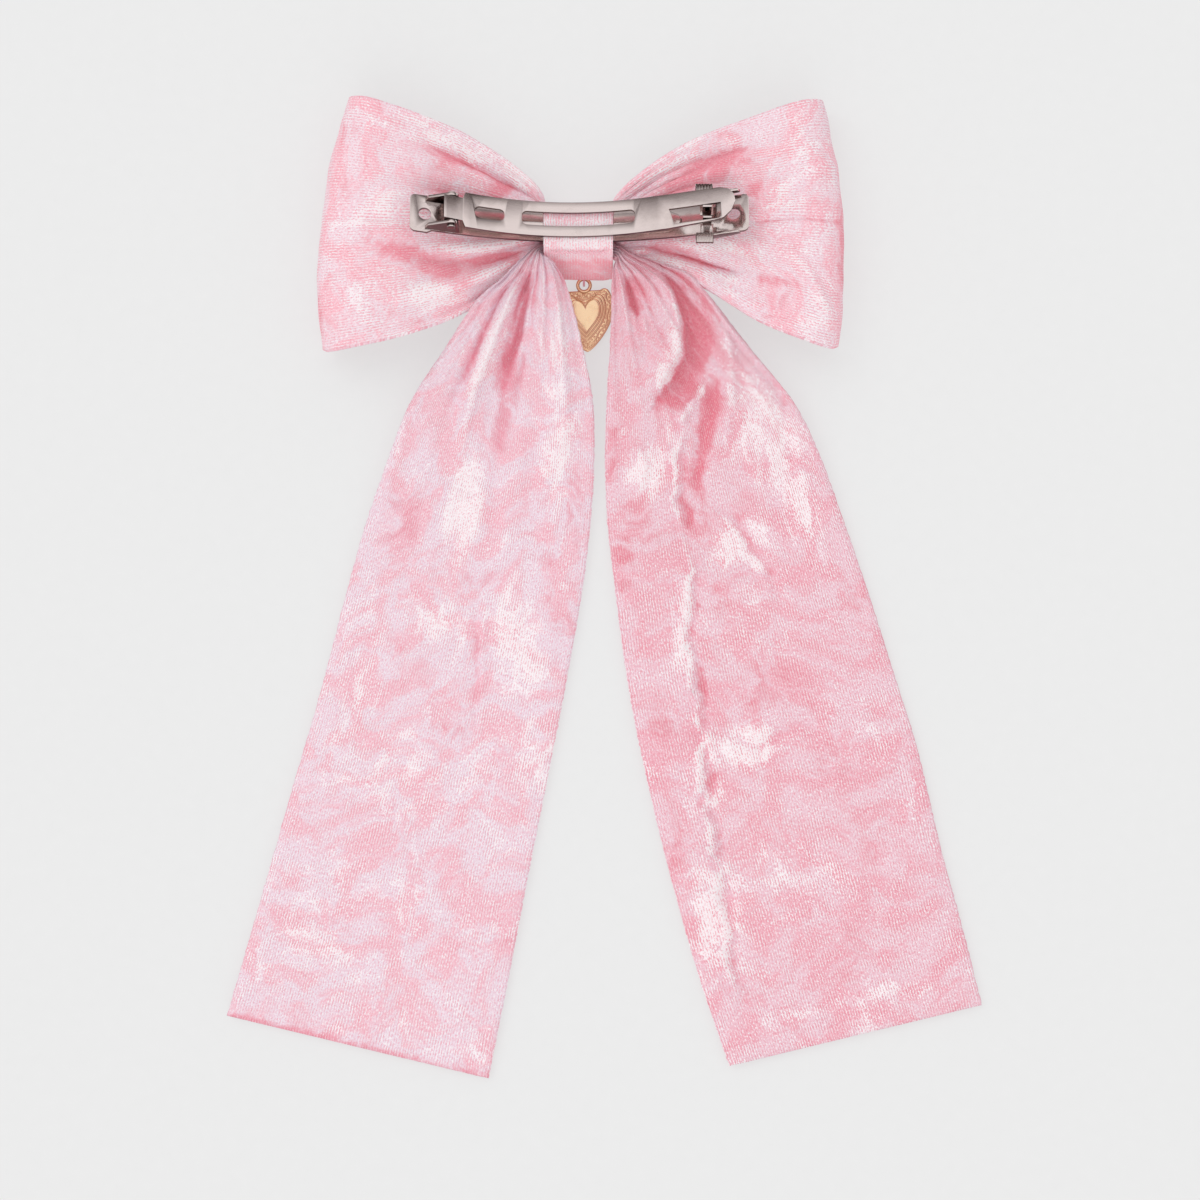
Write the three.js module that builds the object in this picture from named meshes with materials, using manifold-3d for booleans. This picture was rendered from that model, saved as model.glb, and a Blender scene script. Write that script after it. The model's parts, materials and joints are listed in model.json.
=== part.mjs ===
// A velvet hair bow on an 80 mm French clip, lying face-down.
// Millimetres, +Z up (towards the clip), +Y towards the top of the bow, +X to its right.
// The origin is the centre of the centre knot's front face, which rests on the ground plane.
import * as THREE from 'three';
import { mergeVertices } from 'three/addons/utils/BufferGeometryUtils.js';
import Module from 'manifold-3d';

const wasm = await Module();
wasm.setup();

// ---------------------------------------------------------------- driving sizes
const gap = 0.3;                     // clearance between neighbouring solids

const clip = {
  length: 80.4,                      // over the two end tabs
  tilt: -18,                         // degrees about X: the clip leans towards the top of the bow
  place: [0.3, 3.6, 13.5],           // centre of the base plate's upper face
  baseThickness: 0.8,
  baseWidth: 8.0,
  baseSag: 188,                      // upper face z = x^2 / baseSag
  tabWidth: 9.4,
  tabLength: 6.4,
  tabRadius: 1.2,
  tabHoleInset: 3.5,                 // hole centre to the tab's end
  tabHoleRadius: 1.5,
};
const pin = { radius: 0.7, headRadius: 1.05, headThickness: 0.4, rise: 4.2, inset: 9.9 };
const ear = { outer: 3.9, thickness: 0.7, radius: 1.7, length: 8.2 };
const arm = {
  width: 8.8, thickness: 0.8, rise: 3.0, sag: 112, sagCentre: -2, creaseX: 18, endSlope: 0.33,
  tipInset: 3.4,                     // arm tip to the base plate's end
  neckStart: 2.7,                    // hinge axis to the full-width part
  lugRadius: 1.6, lugThickness: 0.6, slotWidth: 3.5,
};
const clasp = { width: 4.0, length: 12.2, edge: 0.95, inset: 19.0 };
const bar = { width: 5.2, thickness: 0.5, rise: 0.35, sag: 170, leftInset: 13.2, rightInset: 16.2 };
const wing = {
  length: 10.6, sheet: 0.6, height: 3.1, endInset: 2.0,
  gripLength: 4.2, gripFlare: 1.9, prongWidth: 2.1, prongProud: 0.5, travel: 0.75,
};
const knot = { width: 16.6, wall: 1.1 };
const loop = {
  reachLeft: 62.2, reachRight: 64.2, leaf: 1.8, waistHalf: 3.6, waistLow: 3.0, waistHigh: 6.6,
  frontZ: 0.3, crownZ: 17.3,
};
const tail = { ply: 2.6, length: 187, outletZ: 8.15, outletWidth: 5.0, outletShift: 1.0 };
const thread = { radius: 0.3, turns: 3, seamRadius: 0.2 };
const charm = {
  place: [1.3, -9.5], turn: 3.2, eyeletRadius: 1.95, eyeletHole: 1.1, eyeletLow: 1.1, eyeletHigh: 1.9,
  heartWidth: 13.0, heartHeight: 15.2, notch: 0.7, low: 0.4, field: 1.3, raised: 1.8,
  rim: 1.1, innerRim: 2.6, innerRimWidth: 0.5, centreInset: 3.5,
};
const tie = { radius: 1.35, wire: 0.25, z: 1.5 };

const halfClip = clip.length / 2;
const pinX = -halfClip + pin.inset;
const tipX = halfClip - arm.tipInset;
const tiltRadians = THREE.MathUtils.degToRad(clip.tilt);

// ---------------------------------------------------------------- materials
const velvet = new THREE.MeshStandardMaterial({ color: 0xf0b2c4, roughness: 0.85, metalness: 0 });
const nickel = new THREE.MeshStandardMaterial({ color: 0xd3c8c5, roughness: 0.2, metalness: 1 });
const gold = new THREE.MeshStandardMaterial({ color: 0xe8c49a, roughness: 0.25, metalness: 1 });
const pinkThread = new THREE.MeshStandardMaterial({ color: 0xe98fa3, roughness: 0.7, metalness: 0 });

// ---------------------------------------------------------------- shape helpers
const point = ([x, y]) => new THREE.Vector2(x, y);

function outline(points, holes = []) {
  const shape = new THREE.Shape(points.map(point));
  for (const hole of holes) shape.holes.push(new THREE.Path(hole.map(point)));
  return shape;
}

function slab(shape, low, high) {    // an outline in XY, from z = low to z = high
  const geometry = new THREE.ExtrudeGeometry(shape, { depth: high - low, bevelEnabled: false });
  return geometry.translate(0, 0, low);
}

function sideSlab(shape, low, high) {  // an outline drawn in XZ, from y = low to y = high
  return slab(shape, -high, -low).rotateX(Math.PI / 2);
}

function endSlab(shape, low, high) {   // an outline drawn in YZ, from x = low to x = high
  const turned = new THREE.Matrix4().set(0, 0, 1, 0, 1, 0, 0, 0, 0, 1, 0, 0, 0, 0, 0, 1);
  return slab(shape, low, high).applyMatrix4(turned);
}

function circle(x, y, radius, steps = 24) {
  return Array.from({ length: steps }, (_, i) => {
    const angle = (i / steps) * 2 * Math.PI;
    return [x + radius * Math.cos(angle), y + radius * Math.sin(angle)];
  });
}

function arc(x, y, radius, from, to, steps = 8) {  // angles in degrees
  return Array.from({ length: steps + 1 }, (_, i) => {
    const angle = THREE.MathUtils.degToRad(from + ((to - from) * i) / steps);
    return [x + radius * Math.cos(angle), y + radius * Math.sin(angle)];
  });
}

function rounded(x0, y0, x1, y1, radius) {
  return [
    ...arc(x1 - radius, y1 - radius, radius, 0, 90, 5),
    ...arc(x0 + radius, y1 - radius, radius, 90, 180, 5),
    ...arc(x0 + radius, y0 + radius, radius, 180, 270, 5),
    ...arc(x1 - radius, y0 + radius, radius, 270, 360, 5),
  ];
}

function smooth(points, steps, closed = false) {   // a curve through chosen points
  const curve = new THREE.CatmullRomCurve3(
    points.map(([x, y, z = 0]) => new THREE.Vector3(x, y, z)), closed, 'centripetal');
  const found = curve.getPoints(steps).map((p) => [p.x, p.y, p.z]);
  return closed ? found.slice(0, -1) : found;
}

function inset(points, distance) {   // a closed outline moved inwards along its normals
  const turn = THREE.ShapeUtils.area(points.map(point)) > 0 ? 1 : -1;
  return points.map(([x, y], i) => {
    const before = points[(i + points.length - 1) % points.length];
    const after = points[(i + 1) % points.length];
    const along = new THREE.Vector2(after[0] - before[0], after[1] - before[1]).normalize();
    return [x - along.y * distance * turn, y + along.x * distance * turn];
  });
}

// ---------------------------------------------------------------- solids
function solid(geometry) {
  const bare = geometry.clone();
  bare.deleteAttribute('normal');
  bare.deleteAttribute('uv');
  const merged = mergeVertices(bare, 1e-5);
  return new wasm.Manifold(new wasm.Mesh({
    numProp: 3,
    vertProperties: new Float32Array(merged.attributes.position.array),
    triVerts: new Uint32Array(merged.index.array),
  }));
}

const join = (...solids) => solids.reduce((whole, next) => whole.add(next));
const cut = (from, ...tools) => tools.reduce((whole, next) => whole.subtract(next), from);

function geometryOf(manifold) {
  const mesh = manifold.getMesh();
  const geometry = new THREE.BufferGeometry();
  const positions = new Float32Array((mesh.vertProperties.length / mesh.numProp) * 3);
  for (let i = 0; i < positions.length / 3; i += 1) {
    for (let k = 0; k < 3; k += 1) positions[i * 3 + k] = mesh.vertProperties[i * mesh.numProp + k];
  }
  geometry.setAttribute('position', new THREE.BufferAttribute(positions, 3));
  geometry.setIndex(new THREE.BufferAttribute(new Uint32Array(mesh.triVerts), 1));
  geometry.computeVertexNormals();
  return geometry;
}

function named(name, shape, material) {
  const geometry = shape instanceof THREE.BufferGeometry ? shape : geometryOf(shape);
  const mesh = new THREE.Mesh(geometry, material);
  mesh.name = name;
  return mesh;
}

function rings(sections) {           // a closed solid through rings of equal point count
  const count = sections[0].length;
  const positions = sections.flat(2);
  const index = [];
  for (let r = 0; r < sections.length - 1; r += 1) {
    for (let i = 0; i < count; i += 1) {
      const a = r * count + i;
      const b = r * count + ((i + 1) % count);
      index.push(a, b, b + count, a, b + count, a + count);
    }
  }
  for (const [ring, flip] of [[0, true], [sections.length - 1, false]]) {
    const start = ring * count;
    for (let i = 1; i < count - 1; i += 1) {
      index.push(start, start + (flip ? i + 1 : i), start + (flip ? i : i + 1));
    }
  }
  const geometry = new THREE.BufferGeometry();
  geometry.setAttribute('position', new THREE.BufferAttribute(new Float32Array(positions), 3));
  geometry.setIndex(index);
  return geometry;
}

function threadAlong(points, radius, closed = false, steps = 60) {
  const curve = new THREE.CatmullRomCurve3(points.map((p) => new THREE.Vector3(...p)), closed);
  return new THREE.ExtrudeGeometry(outline(circle(0, 0, radius, 8)),
    { steps, bevelEnabled: false, extrudePath: curve });
}

// ---------------------------------------------------------------- the clip, in its own frame
const baseTop = (x) => {
  const bend = halfClip - clip.tabLength;          // the end tabs run on straight
  const reach = Math.min(Math.abs(x), bend);
  return (reach * reach + 2 * reach * (Math.abs(x) - reach)) / clip.baseSag;
};
const armUnder = (x) => {
  const reach = Math.min(x, arm.creaseX) - arm.sagCentre;
  return arm.rise + (reach * reach) / arm.sag + Math.max(0, x - arm.creaseX) * arm.endSlope;
};
const barUnder = (x) => bar.rise + (x * x) / bar.sag;
const pinZ = baseTop(pinX) + pin.rise;

function bentSheet(plan, under, thickness, from, to, steps) {
  const low = Array.from({ length: steps + 1 }, (_, i) => {
    const x = from + ((to - from) * i) / steps;
    return [x, under(x)];
  });
  const high = low.map(([x, z]) => [x, z + thickness]).reverse();
  const side = solid(sideSlab(outline([...low, ...high]), -20, 20));
  return side.intersect(solid(slab(plan, -20, 60)));
}

function basePlate() {
  const tab = clip.tabWidth / 2;
  const side = clip.baseWidth / 2;
  const shoulder = halfClip - clip.tabLength + 2.4;
  const right = [
    [shoulder - 1.2, -side], [shoulder, -tab],
    ...arc(halfClip - clip.tabRadius, -tab + clip.tabRadius, clip.tabRadius, 270, 360, 5),
    ...arc(halfClip - clip.tabRadius, tab - clip.tabRadius, clip.tabRadius, 0, 90, 5),
    [shoulder, tab], [shoulder - 1.2, side],
  ];
  const left = right.map(([x, y]) => [-x, -y]);
  const holes = [-1, 1].map((end) => circle(end * (halfClip - clip.tabHoleInset), 0, clip.tabHoleRadius));
  const sheet = bentSheet(outline([...right, ...left], holes), (x) => baseTop(x) - clip.baseThickness,
    clip.baseThickness, -halfClip - 1, halfClip + 1, 48);
  const foot = (x) => baseTop(x) - clip.baseThickness / 2;
  const heel = pinX + ear.radius - ear.length;
  const earSide = outline([
    [heel, foot(heel)],
    [pinX + ear.radius, foot(pinX + ear.radius)],
    ...arc(pinX, pinZ, ear.radius, 0, 120, 10),
    [heel + 1.0, foot(heel) + 2.2],
  ], [circle(pinX, pinZ, pin.radius + gap, 20)]);
  const ears = [-1, 1].map((hand) => solid(
    hand > 0 ? sideSlab(earSide, ear.outer - ear.thickness, ear.outer)
      : sideSlab(earSide, -ear.outer, -ear.outer + ear.thickness)));
  return join(sheet, ...ears);
}

function clipArm() {
  const half = arm.width / 2;
  const neck = ear.outer - ear.thickness - gap;
  const neckX = pinX + arm.neckStart;
  const windowEnd = halfClip - clasp.inset + clasp.length;
  const low = -half + clasp.edge;
  const plan = outline([
    [pinX - arm.lugRadius, -neck], [neckX, -neck], [neckX + 0.6, -half],
    [halfClip - clasp.inset, -half], [windowEnd - 1.5, -half + 0.6], [windowEnd + 0.6, low],
    [tipX - 1.0, -1.9], [tipX, 0.4], [tipX - 0.3, 2.2], [tipX - 1.6, 3.8],
    [tipX - 3.6, half], [neckX + 0.6, half], [neckX, neck], [pinX - arm.lugRadius, neck],
  ], [
    rounded(neckX + 2.8, -arm.slotWidth * 0.42, neckX + 9.8, arm.slotWidth * 0.42, 1.2),
    rounded(-13.7, -arm.slotWidth / 2, 13.2, arm.slotWidth / 2, 1.2),
    [
      [windowEnd - clasp.length, low + clasp.width], [windowEnd - clasp.length + 1.3, low],
      [windowEnd - 0.6, low], [windowEnd, low + 0.6], [windowEnd, low + clasp.width],
    ],
  ]);
  const sheet = bentSheet(plan, armUnder, arm.thickness, pinX - arm.lugRadius - 1, tipX + 1, 40);
  const lugSide = outline([
    ...arc(pinX, pinZ, arm.lugRadius, 180, 360, 12),
    [pinX + arm.lugRadius, armUnder(pinX + arm.lugRadius) + arm.thickness / 2],
    [pinX - arm.lugRadius, armUnder(pinX - arm.lugRadius) + arm.thickness / 2],
  ], [circle(pinX, pinZ, pin.radius + gap, 20)]);
  const lugs = [solid(sideSlab(lugSide, neck - arm.lugThickness, neck)),
    solid(sideSlab(lugSide, -neck, -neck + arm.lugThickness))];
  return join(sheet, ...lugs);
}

function hingePin() {
  const shank = ear.outer + gap;
  const end = shank + pin.headThickness;
  const profile = [
    [0, -end], [pin.headRadius * 0.8, -end], [pin.headRadius, -end + 0.15], [pin.headRadius, -shank],
    [pin.radius, -shank], [pin.radius, shank], [pin.headRadius, shank], [pin.headRadius, end - 0.15],
    [pin.headRadius * 0.8, end], [0, end],
  ];
  return new THREE.LatheGeometry(profile.map(point), 20).translate(pinX, 0, 0).translate(0, 0, pinZ);
}

function tensionBar() {
  const half = bar.width / 2;
  const from = -halfClip + bar.leftInset;
  const to = halfClip - bar.rightInset;
  const plan = outline([
    [from, -half + 1], [from + 1.4, -half], [to - 3, -half], [to, -0.9],
    [to, 0.9], [to - 3, half], [from + 1.4, half], [from, half - 1],
  ]);
  return bentSheet(plan, barUnder, bar.thickness, from - 1, to + 1, 40);
}

// One sprung catch: web beside the base plate, flared grip, shelf under the arm, prong in its window.
function releaseWing(hand) {
  const end = halfClip - wing.endInset;
  const start = end - wing.length;
  const inner = clip.baseWidth / 2 + gap + wing.travel;
  const outer = inner + wing.sheet;
  const web = solid(sideSlab(outline([
    [start, baseTop(start) + 0.6], [start + 1.2, baseTop(start) - 0.5], [end - 2, baseTop(end - 2) + 0.1],
    [end, baseTop(end) + 0.6], [end - 0.6, baseTop(end) + 1.6], [start + 6, baseTop(start + 6) + 2],
    [start + wing.gripLength, baseTop(start) + wing.height], [start, baseTop(start) + wing.height],
  ]), inner, outer));
  const gripZ = baseTop(start) + wing.height - 0.4;
  const ridges = 6;
  const crest = Array.from({ length: ridges * 2 + 1 }, (_, i) => [
    start + (wing.gripLength * i) / (ridges * 2), (i % 2) * 0.22]);
  const grip = solid(sideSlab(outline([
    ...crest.map(([x, z]) => [x, gripZ - z]).reverse(), ...crest.map(([x, z]) => [x, gripZ + 0.6 + z]),
  ].reverse()), inner, outer + wing.gripFlare));
  const windowEnd = halfClip - clasp.inset + clasp.length;
  const low = -arm.width / 2 + clasp.edge;
  const prongSide = hand > 0 ? low + clasp.width - gap - 0.05 : -(low + gap + 0.05);
  const prongX = windowEnd - 4.2;
  const shelfZ = baseTop(prongX) + wing.height - 1.2;
  const shelf = solid(slab(outline([
    [prongX - 0.5, prongSide - 0.5], [prongX + wing.prongWidth + 0.5, prongSide - 0.5],
    [prongX + wing.prongWidth + 0.5, outer - 0.1], [prongX - 0.5, outer - 0.1],
  ]), shelfZ, shelfZ + 0.5));
  const prongTop = armUnder(prongX) + arm.thickness + wing.prongProud;
  const prong = solid(slab(outline([
    [prongX, prongSide - 0.5], [prongX + wing.prongWidth, prongSide - 0.5],
    [prongX + wing.prongWidth, prongSide], [prongX, prongSide],
  ]), shelfZ + 0.1, prongTop));
  const whole = join(web, grip, shelf, prong);
  return hand > 0 ? whole : whole.mirror([0, 1, 0]);
}

// ---------------------------------------------------------------- the bow
function clipPoint(y, z) {           // a point of the clip's middle section, as the bow sees it
  return [
    clip.place[1] + y * Math.cos(tiltRadians) - z * Math.sin(tiltRadians),
    clip.place[2] + y * Math.sin(tiltRadians) + z * Math.cos(tiltRadians),
  ];
}

const knotSide = clip.baseWidth / 2 + gap + knot.wall;
const knotCrown = barUnder(knot.width / 2) + bar.thickness + gap / 2 + knot.wall;
const knotSection = smooth([
  [-3.6, 0], [0, 0], [4.2, 0], [6.4, 1.0], [7.8, 3.2], [8.6, 6.5], [9.0, 10.0],
  clipPoint(knotSide, 0.2), clipPoint(knotSide - 0.7, knotCrown - 0.3), clipPoint(2, knotCrown),
  clipPoint(-2, knotCrown), clipPoint(-knotSide + 0.7, knotCrown - 0.2), clipPoint(-knotSide - 0.2, 0.6),
  [-3.8, 13.9], [-5.9, 11.2], [-7.7, 8.2], [-8.7, 6.2], [-8.4, 4.5], [-7.2, 3.4], [-5.8, 2.2], [-5.0, 1.0],
], 64, true).map(([y, z]) => [y, Math.max(z, 0)]);   // the front face is flat on the ground

function centreKnot() {
  const half = knot.width / 2;
  const outer = solid(endSlab(outline(knotSection), -half, half));
  const inner = solid(endSlab(outline(inset(knotSection, knot.wall)), -half - 1, half + 1));
  return cut(outer, inner);
}

function seamStitches() {            // a running stitch along the band's lapped end
  const [y, z] = [-3.0, 15.45];
  const count = 9;
  const pitch = (knot.width - 3) / count;
  const points = Array.from({ length: count * 2 + 1 }, (_, i) => [
    -knot.width / 2 + 1.5 + (pitch * i) / 2, y + (i % 2 ? 0.25 : -0.25), z + (i % 2 ? 0.12 : 0)]);
  return threadAlong(points, thread.seamRadius, false, count * 6);
}

function gatheringThread() {         // wound round the pinched waist, inside the knot
  const wide = loop.waistHalf + gap + thread.radius;
  const low = loop.waistLow - gap - thread.radius;
  const high = tail.outletZ + tail.ply / 2 + gap + thread.radius;
  const lap = smooth([
    [-wide + 0.7, low], [wide - 0.7, low], [wide + 0.2, low + 1.7], [wide, high - 2], [2.5, high],
    [-wide + 0.7, high], [-wide - tail.outletShift, high - 2], [-wide - 0.4, low + 1.7],
  ], 24, true);
  const count = thread.turns * lap.length;
  const pitch = 3 * thread.radius;
  const route = Array.from({ length: count }, (_, i) => {
    const [y, z] = lap[i % lap.length];
    return [(i / lap.length - thread.turns / 2) * pitch, y, z];
  });
  return threadAlong(route, thread.radius, false, count);
}

// Each loop is a hollow fold: the plan outline gives its edges, the side section its two leaves.
function loopBand() {
  const mouth = knot.width / 2;
  const [left, right] = [loop.reachLeft, loop.reachRight];
  const plan = outline([
    [0, loop.waistHalf], [mouth - 0.6, loop.waistHalf], [mouth + 1.6, 10.6],
    [mouth + 10, 18.4], [right * 0.43, 24.3], [right * 0.64, 29.2], [right - 5.5, 34.6],
    [right - 3.4, 27], [right - 1.2, 6.7], [right, -6.9], [right - 0.8, -18], [right - 1.5, -25.4],
    [right - 8.6, -23], [right * 0.65, -15.2], [right * 0.435, -6.9], [mouth + 3, -5.2],
    [mouth - 0.6, -loop.waistHalf], [0, -loop.waistHalf], [-mouth + 0.6, -loop.waistHalf],
    [-mouth - 3, -6.6], [-left * 0.43, -15.6], [-left * 0.62, -21.2], [-left + 10, -24.7],
    [-left + 1, -26.3], [-left + 0.2, -13.5], [-left, -4.6], [-left + 0.9, 9.2], [-left + 3.7, 22.9],
    [-left + 7.3, 35.2], [-left * 0.63, 30.3], [-left * 0.44, 25.8], [-mouth - 6.6, 18.4],
    [-mouth - 1.6, 10.6], [-mouth + 0.6, loop.waistHalf],
  ]);
  const leafLine = (reach) => [
    [mouth + 0.6, loop.waistLow], [mouth + 4.6, 0.7], [20, loop.frontZ], [reach - 9, loop.frontZ],
    [reach - 2.6, 2.4], [reach, 7], [reach - 1, 11.4], [reach - 5, 15], [reach - 13, loop.crownZ],
    [reach - 22, loop.crownZ - 0.5], [33, 14.4], [27, 11.3], [20, 9.6], [mouth + 3.7, 7.9],
    [mouth, loop.waistHigh],
  ];
  const rightLine = [[0, loop.waistLow], ...leafLine(right), [0, loop.waistHigh]];
  const leftLine = [[0, loop.waistHigh], ...leafLine(left).map(([x, z]) => [-x, z]).reverse(),
    [0, loop.waistLow]];
  const hollow = (reach) => smooth([
    [mouth + 6, 4.3], [mouth + 11, loop.frontZ + loop.leaf], [33, loop.frontZ + loop.leaf],
    [reach - 9, loop.frontZ + loop.leaf], [reach - 3.6, 4], [reach - loop.leaf, 7.2],
    [reach - 2.8, 10.6], [reach - 6, 13.4], [reach - 13, loop.crownZ - loop.leaf],
    [reach - 22, loop.crownZ - loop.leaf - 0.5], [34, 12.6], [27, 9.5], [20, 7.8],
  ], 40, true);
  const body = join(solid(sideSlab(outline(rightLine), -40, 45)), solid(sideSlab(outline(leftLine), -40, 45)));
  const cores = [hollow(right), hollow(left).map(([x, z]) => [-x, z])]
    .map((line) => solid(sideSlab(outline(line), -41, 46)));
  return cut(body, ...cores).intersect(solid(slab(plan, -5, 40)));
}

// A tail is a doubled strip: its outer and inner edges, with the height of its middle at each station.
function tailStrip(stations) {
  const across = 6;
  const sections = stations.map(([outerX, outerY, innerX, innerY, z]) => {
    const upper = [];
    const lower = [];
    for (let i = 0; i <= across; i += 1) {
      const t = i / across;
      const fullness = Math.sqrt(Math.sin(Math.PI * (0.08 + 0.84 * t)));
      const at = [outerX + (innerX - outerX) * t, outerY + (innerY - outerY) * t];
      upper.push([...at, z + (tail.ply / 2) * fullness]);
      lower.push([...at, z - (tail.ply / 2) * fullness]);
    }
    return [...upper, ...lower.reverse()];
  });
  const geometry = rings(sections);
  return solid(geometry).volume() < 0 ? flipped(geometry) : geometry;
}

function flipped(geometry) {
  const index = geometry.index.array;
  for (let i = 0; i < index.length; i += 3) [index[i], index[i + 1]] = [index[i + 1], index[i]];
  return geometry;
}

function tailStations(hand, flare, foot) {
  const mouth = knot.width / 2;
  const half = tail.outletWidth / 2;
  const shared = [
    [hand * 2.5, -2.3 + half, hand * 2.5, -2.3 - half, tail.outletZ],
    [hand * (mouth + 0.5), -2.7 + half, hand * (mouth + 0.5), -2.7 - half, tail.outletZ],
  ];
  const floorZ = loop.frontZ + tail.ply / 2 + 0.2;
  const bottom = foot.map(([outerX, outerY, innerX, innerY]) => [outerX, outerY * (tail.length / 187),
    innerX, innerY * (tail.length / 187), floorZ]);
  return [...shared, ...flare, ...bottom];
}

const leftStations = tailStations(-1, [
  [-knot.width / 2 - 5.1, -3.8, -knot.width / 2 - 1.3, -9.4, 10.2],
  [-18.5, -8.6, -5.4, -12.4, 12.2],
  [-24.1, -14, -1.6, -17, 12.9],
  [-32, -25.5, 1.2, -26.5, 10.6],
  [-40.8, -38.5, 3.4, -36, 7],
  [-46.1, -51.6, 4, -50, 4.2],
], [
  [-56.3, -84.4, 2, -78],
  [-66.2, -121.3, -3.2, -114],
  [-76.2, -155.2, -11.6, -152],
  [-85.5, -187, -21.9, -202.3],
]);
const rightStations = tailStations(1, [
  [knot.width / 2 + 5.7, -3, knot.width / 2 + 1.5, -8.8, 10.2],
  [21, -5.2, 8, -12.4, 12.2],
  [27.4, -8.5, 7.9, -18, 12.9],
  [40.9, -24.7, 7.5, -27, 10.6],
  [52.2, -37.2, 7, -38, 7],
  [60.5, -56.7, 6.7, -52, 4.2],
], [
  [70.5, -84.4, 8.3, -78],
  [81.7, -120.3, 12.8, -110],
  [88.6, -148, 20.8, -145],
  [98.1, -184.4, 36.6, -199.3],
]);

// ---------------------------------------------------------------- the charm
function heartLine(width, height, topY, notch = height, steps = 48) {
  return Array.from({ length: steps }, (_, i) => {   // notch: how deep the dip between the lobes goes
    const t = (i / steps) * 2 * Math.PI;
    const x = 16 * Math.sin(t) ** 3;
    const y = 13 * Math.cos(t) - 5 * Math.cos(2 * t) - 2 * Math.cos(3 * t) - Math.cos(4 * t);
    const heartY = topY + ((y - 11.9) / 28.9) * height;
    const between = Math.cos(t) > 0.6;               // the stretch between the tops of the two lobes
    return [(x / 32) * width, between ? Math.max(heartY, topY - notch) : heartY];
  });
}

function heartCharm() {              // around the eyelet's centre, hanging along -Y
  const top = -charm.eyeletRadius + 1.0;
  const heart = (shrink, low, high, notch) => solid(slab(outline(heartLine(
    charm.heartWidth - 2 * shrink, charm.heartHeight - 2.25 * shrink, top - shrink, notch)), low, high));
  const plate = heart(0, charm.low, charm.field, charm.notch);
  const border = cut(heart(0.02, charm.field - 0.1, charm.raised, charm.notch),
    heart(charm.rim, 0, 5, charm.notch));
  const inner = cut(heart(charm.innerRim, charm.field - 0.1, charm.raised - 0.1),
    heart(charm.innerRim + charm.innerRimWidth, 0, 5));
  const centre = heart(charm.centreInset, charm.field - 0.1, charm.raised - 0.2);
  const eyelet = solid(slab(outline(circle(0, 0, charm.eyeletRadius, 28)), charm.eyeletLow, charm.eyeletHigh));
  const neck = solid(slab(outline([[-1.1, -1.5], [1.1, -1.5], [1.1, top - 2.6], [-1.1, top - 2.6]].reverse()),
    charm.low + 0.2, charm.eyeletHigh - 0.2));
  const bore = solid(slab(outline(circle(0, 0, charm.eyeletHole, 20)), -1, 5));
  return cut(join(plate, border, inner, centre, eyelet, neck), bore);
}

function charmTie() {                // a ring of thread standing across the eyelet
  const y = charm.place[1] + tie.radius - 0.1;
  return new THREE.TorusGeometry(tie.radius, tie.wire, 8, 28).rotateY(Math.PI / 2)
    .translate(charm.place[0], y, tie.z);
}

// ---------------------------------------------------------------- assembly
const bow = new THREE.Group();
bow.add(
  named('loop_band', loopBand(), velvet),
  named('left_tail', tailStrip(leftStations), velvet),
  named('right_tail', tailStrip(rightStations), velvet),
  named('centre_knot', centreKnot(), velvet),
  named('gathering_thread', gatheringThread(), pinkThread),
  named('knot_seam_stitches', seamStitches(), pinkThread),
  named('charm_thread_loop', charmTie(), pinkThread),
);

const frenchClip = new THREE.Group();
frenchClip.position.set(...clip.place);
frenchClip.rotation.x = tiltRadians;
frenchClip.add(
  named('base_plate', basePlate(), nickel),
  named('tension_bar', tensionBar(), nickel),
  named('clip_arm', clipArm(), nickel),
  named('hinge_pin', hingePin(), nickel),
  named('upper_release_wing', releaseWing(1), nickel),
  named('lower_release_wing', releaseWing(-1), nickel),
);

const pendant = new THREE.Group();
pendant.position.set(charm.place[0], charm.place[1], 0);
pendant.rotation.z = THREE.MathUtils.degToRad(charm.turn);
pendant.add(named('heart_charm', heartCharm(), gold));

const barrette = new THREE.Group();
barrette.add(bow, frenchClip, pendant);
export default barrette;
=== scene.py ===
"""A crushed-velvet hair bow on a French clip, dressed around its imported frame.

Everything is in metres in the frame's own axes: +Z out of the back of the bow towards the clip, +Y to the
top of the bow. Sizes in the tables below are millimetres, as a dressmaker would chalk them on the bench.
"""
from __future__ import annotations

import json
import logging
import math
import sys
from dataclasses import dataclass, field
from enum import Enum

import bmesh
import bpy
import numpy as np
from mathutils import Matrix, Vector, noise

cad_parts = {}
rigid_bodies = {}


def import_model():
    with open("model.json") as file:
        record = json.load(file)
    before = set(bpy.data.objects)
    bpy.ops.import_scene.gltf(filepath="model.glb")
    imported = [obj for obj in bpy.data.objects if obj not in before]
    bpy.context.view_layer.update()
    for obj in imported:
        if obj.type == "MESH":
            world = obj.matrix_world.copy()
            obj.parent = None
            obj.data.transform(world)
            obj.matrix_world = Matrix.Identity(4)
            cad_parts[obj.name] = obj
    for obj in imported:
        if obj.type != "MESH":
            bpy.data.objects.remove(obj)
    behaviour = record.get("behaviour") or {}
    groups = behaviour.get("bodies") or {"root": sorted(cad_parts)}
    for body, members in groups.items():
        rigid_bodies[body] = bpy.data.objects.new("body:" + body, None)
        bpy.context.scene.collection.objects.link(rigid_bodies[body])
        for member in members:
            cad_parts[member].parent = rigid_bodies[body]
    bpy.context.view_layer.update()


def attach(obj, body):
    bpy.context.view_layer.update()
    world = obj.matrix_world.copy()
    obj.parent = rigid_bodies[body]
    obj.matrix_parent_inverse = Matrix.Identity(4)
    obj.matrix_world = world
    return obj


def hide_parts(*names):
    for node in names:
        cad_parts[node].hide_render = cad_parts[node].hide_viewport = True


LOG = logging.getLogger("barrette")
MM = 0.001


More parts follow.
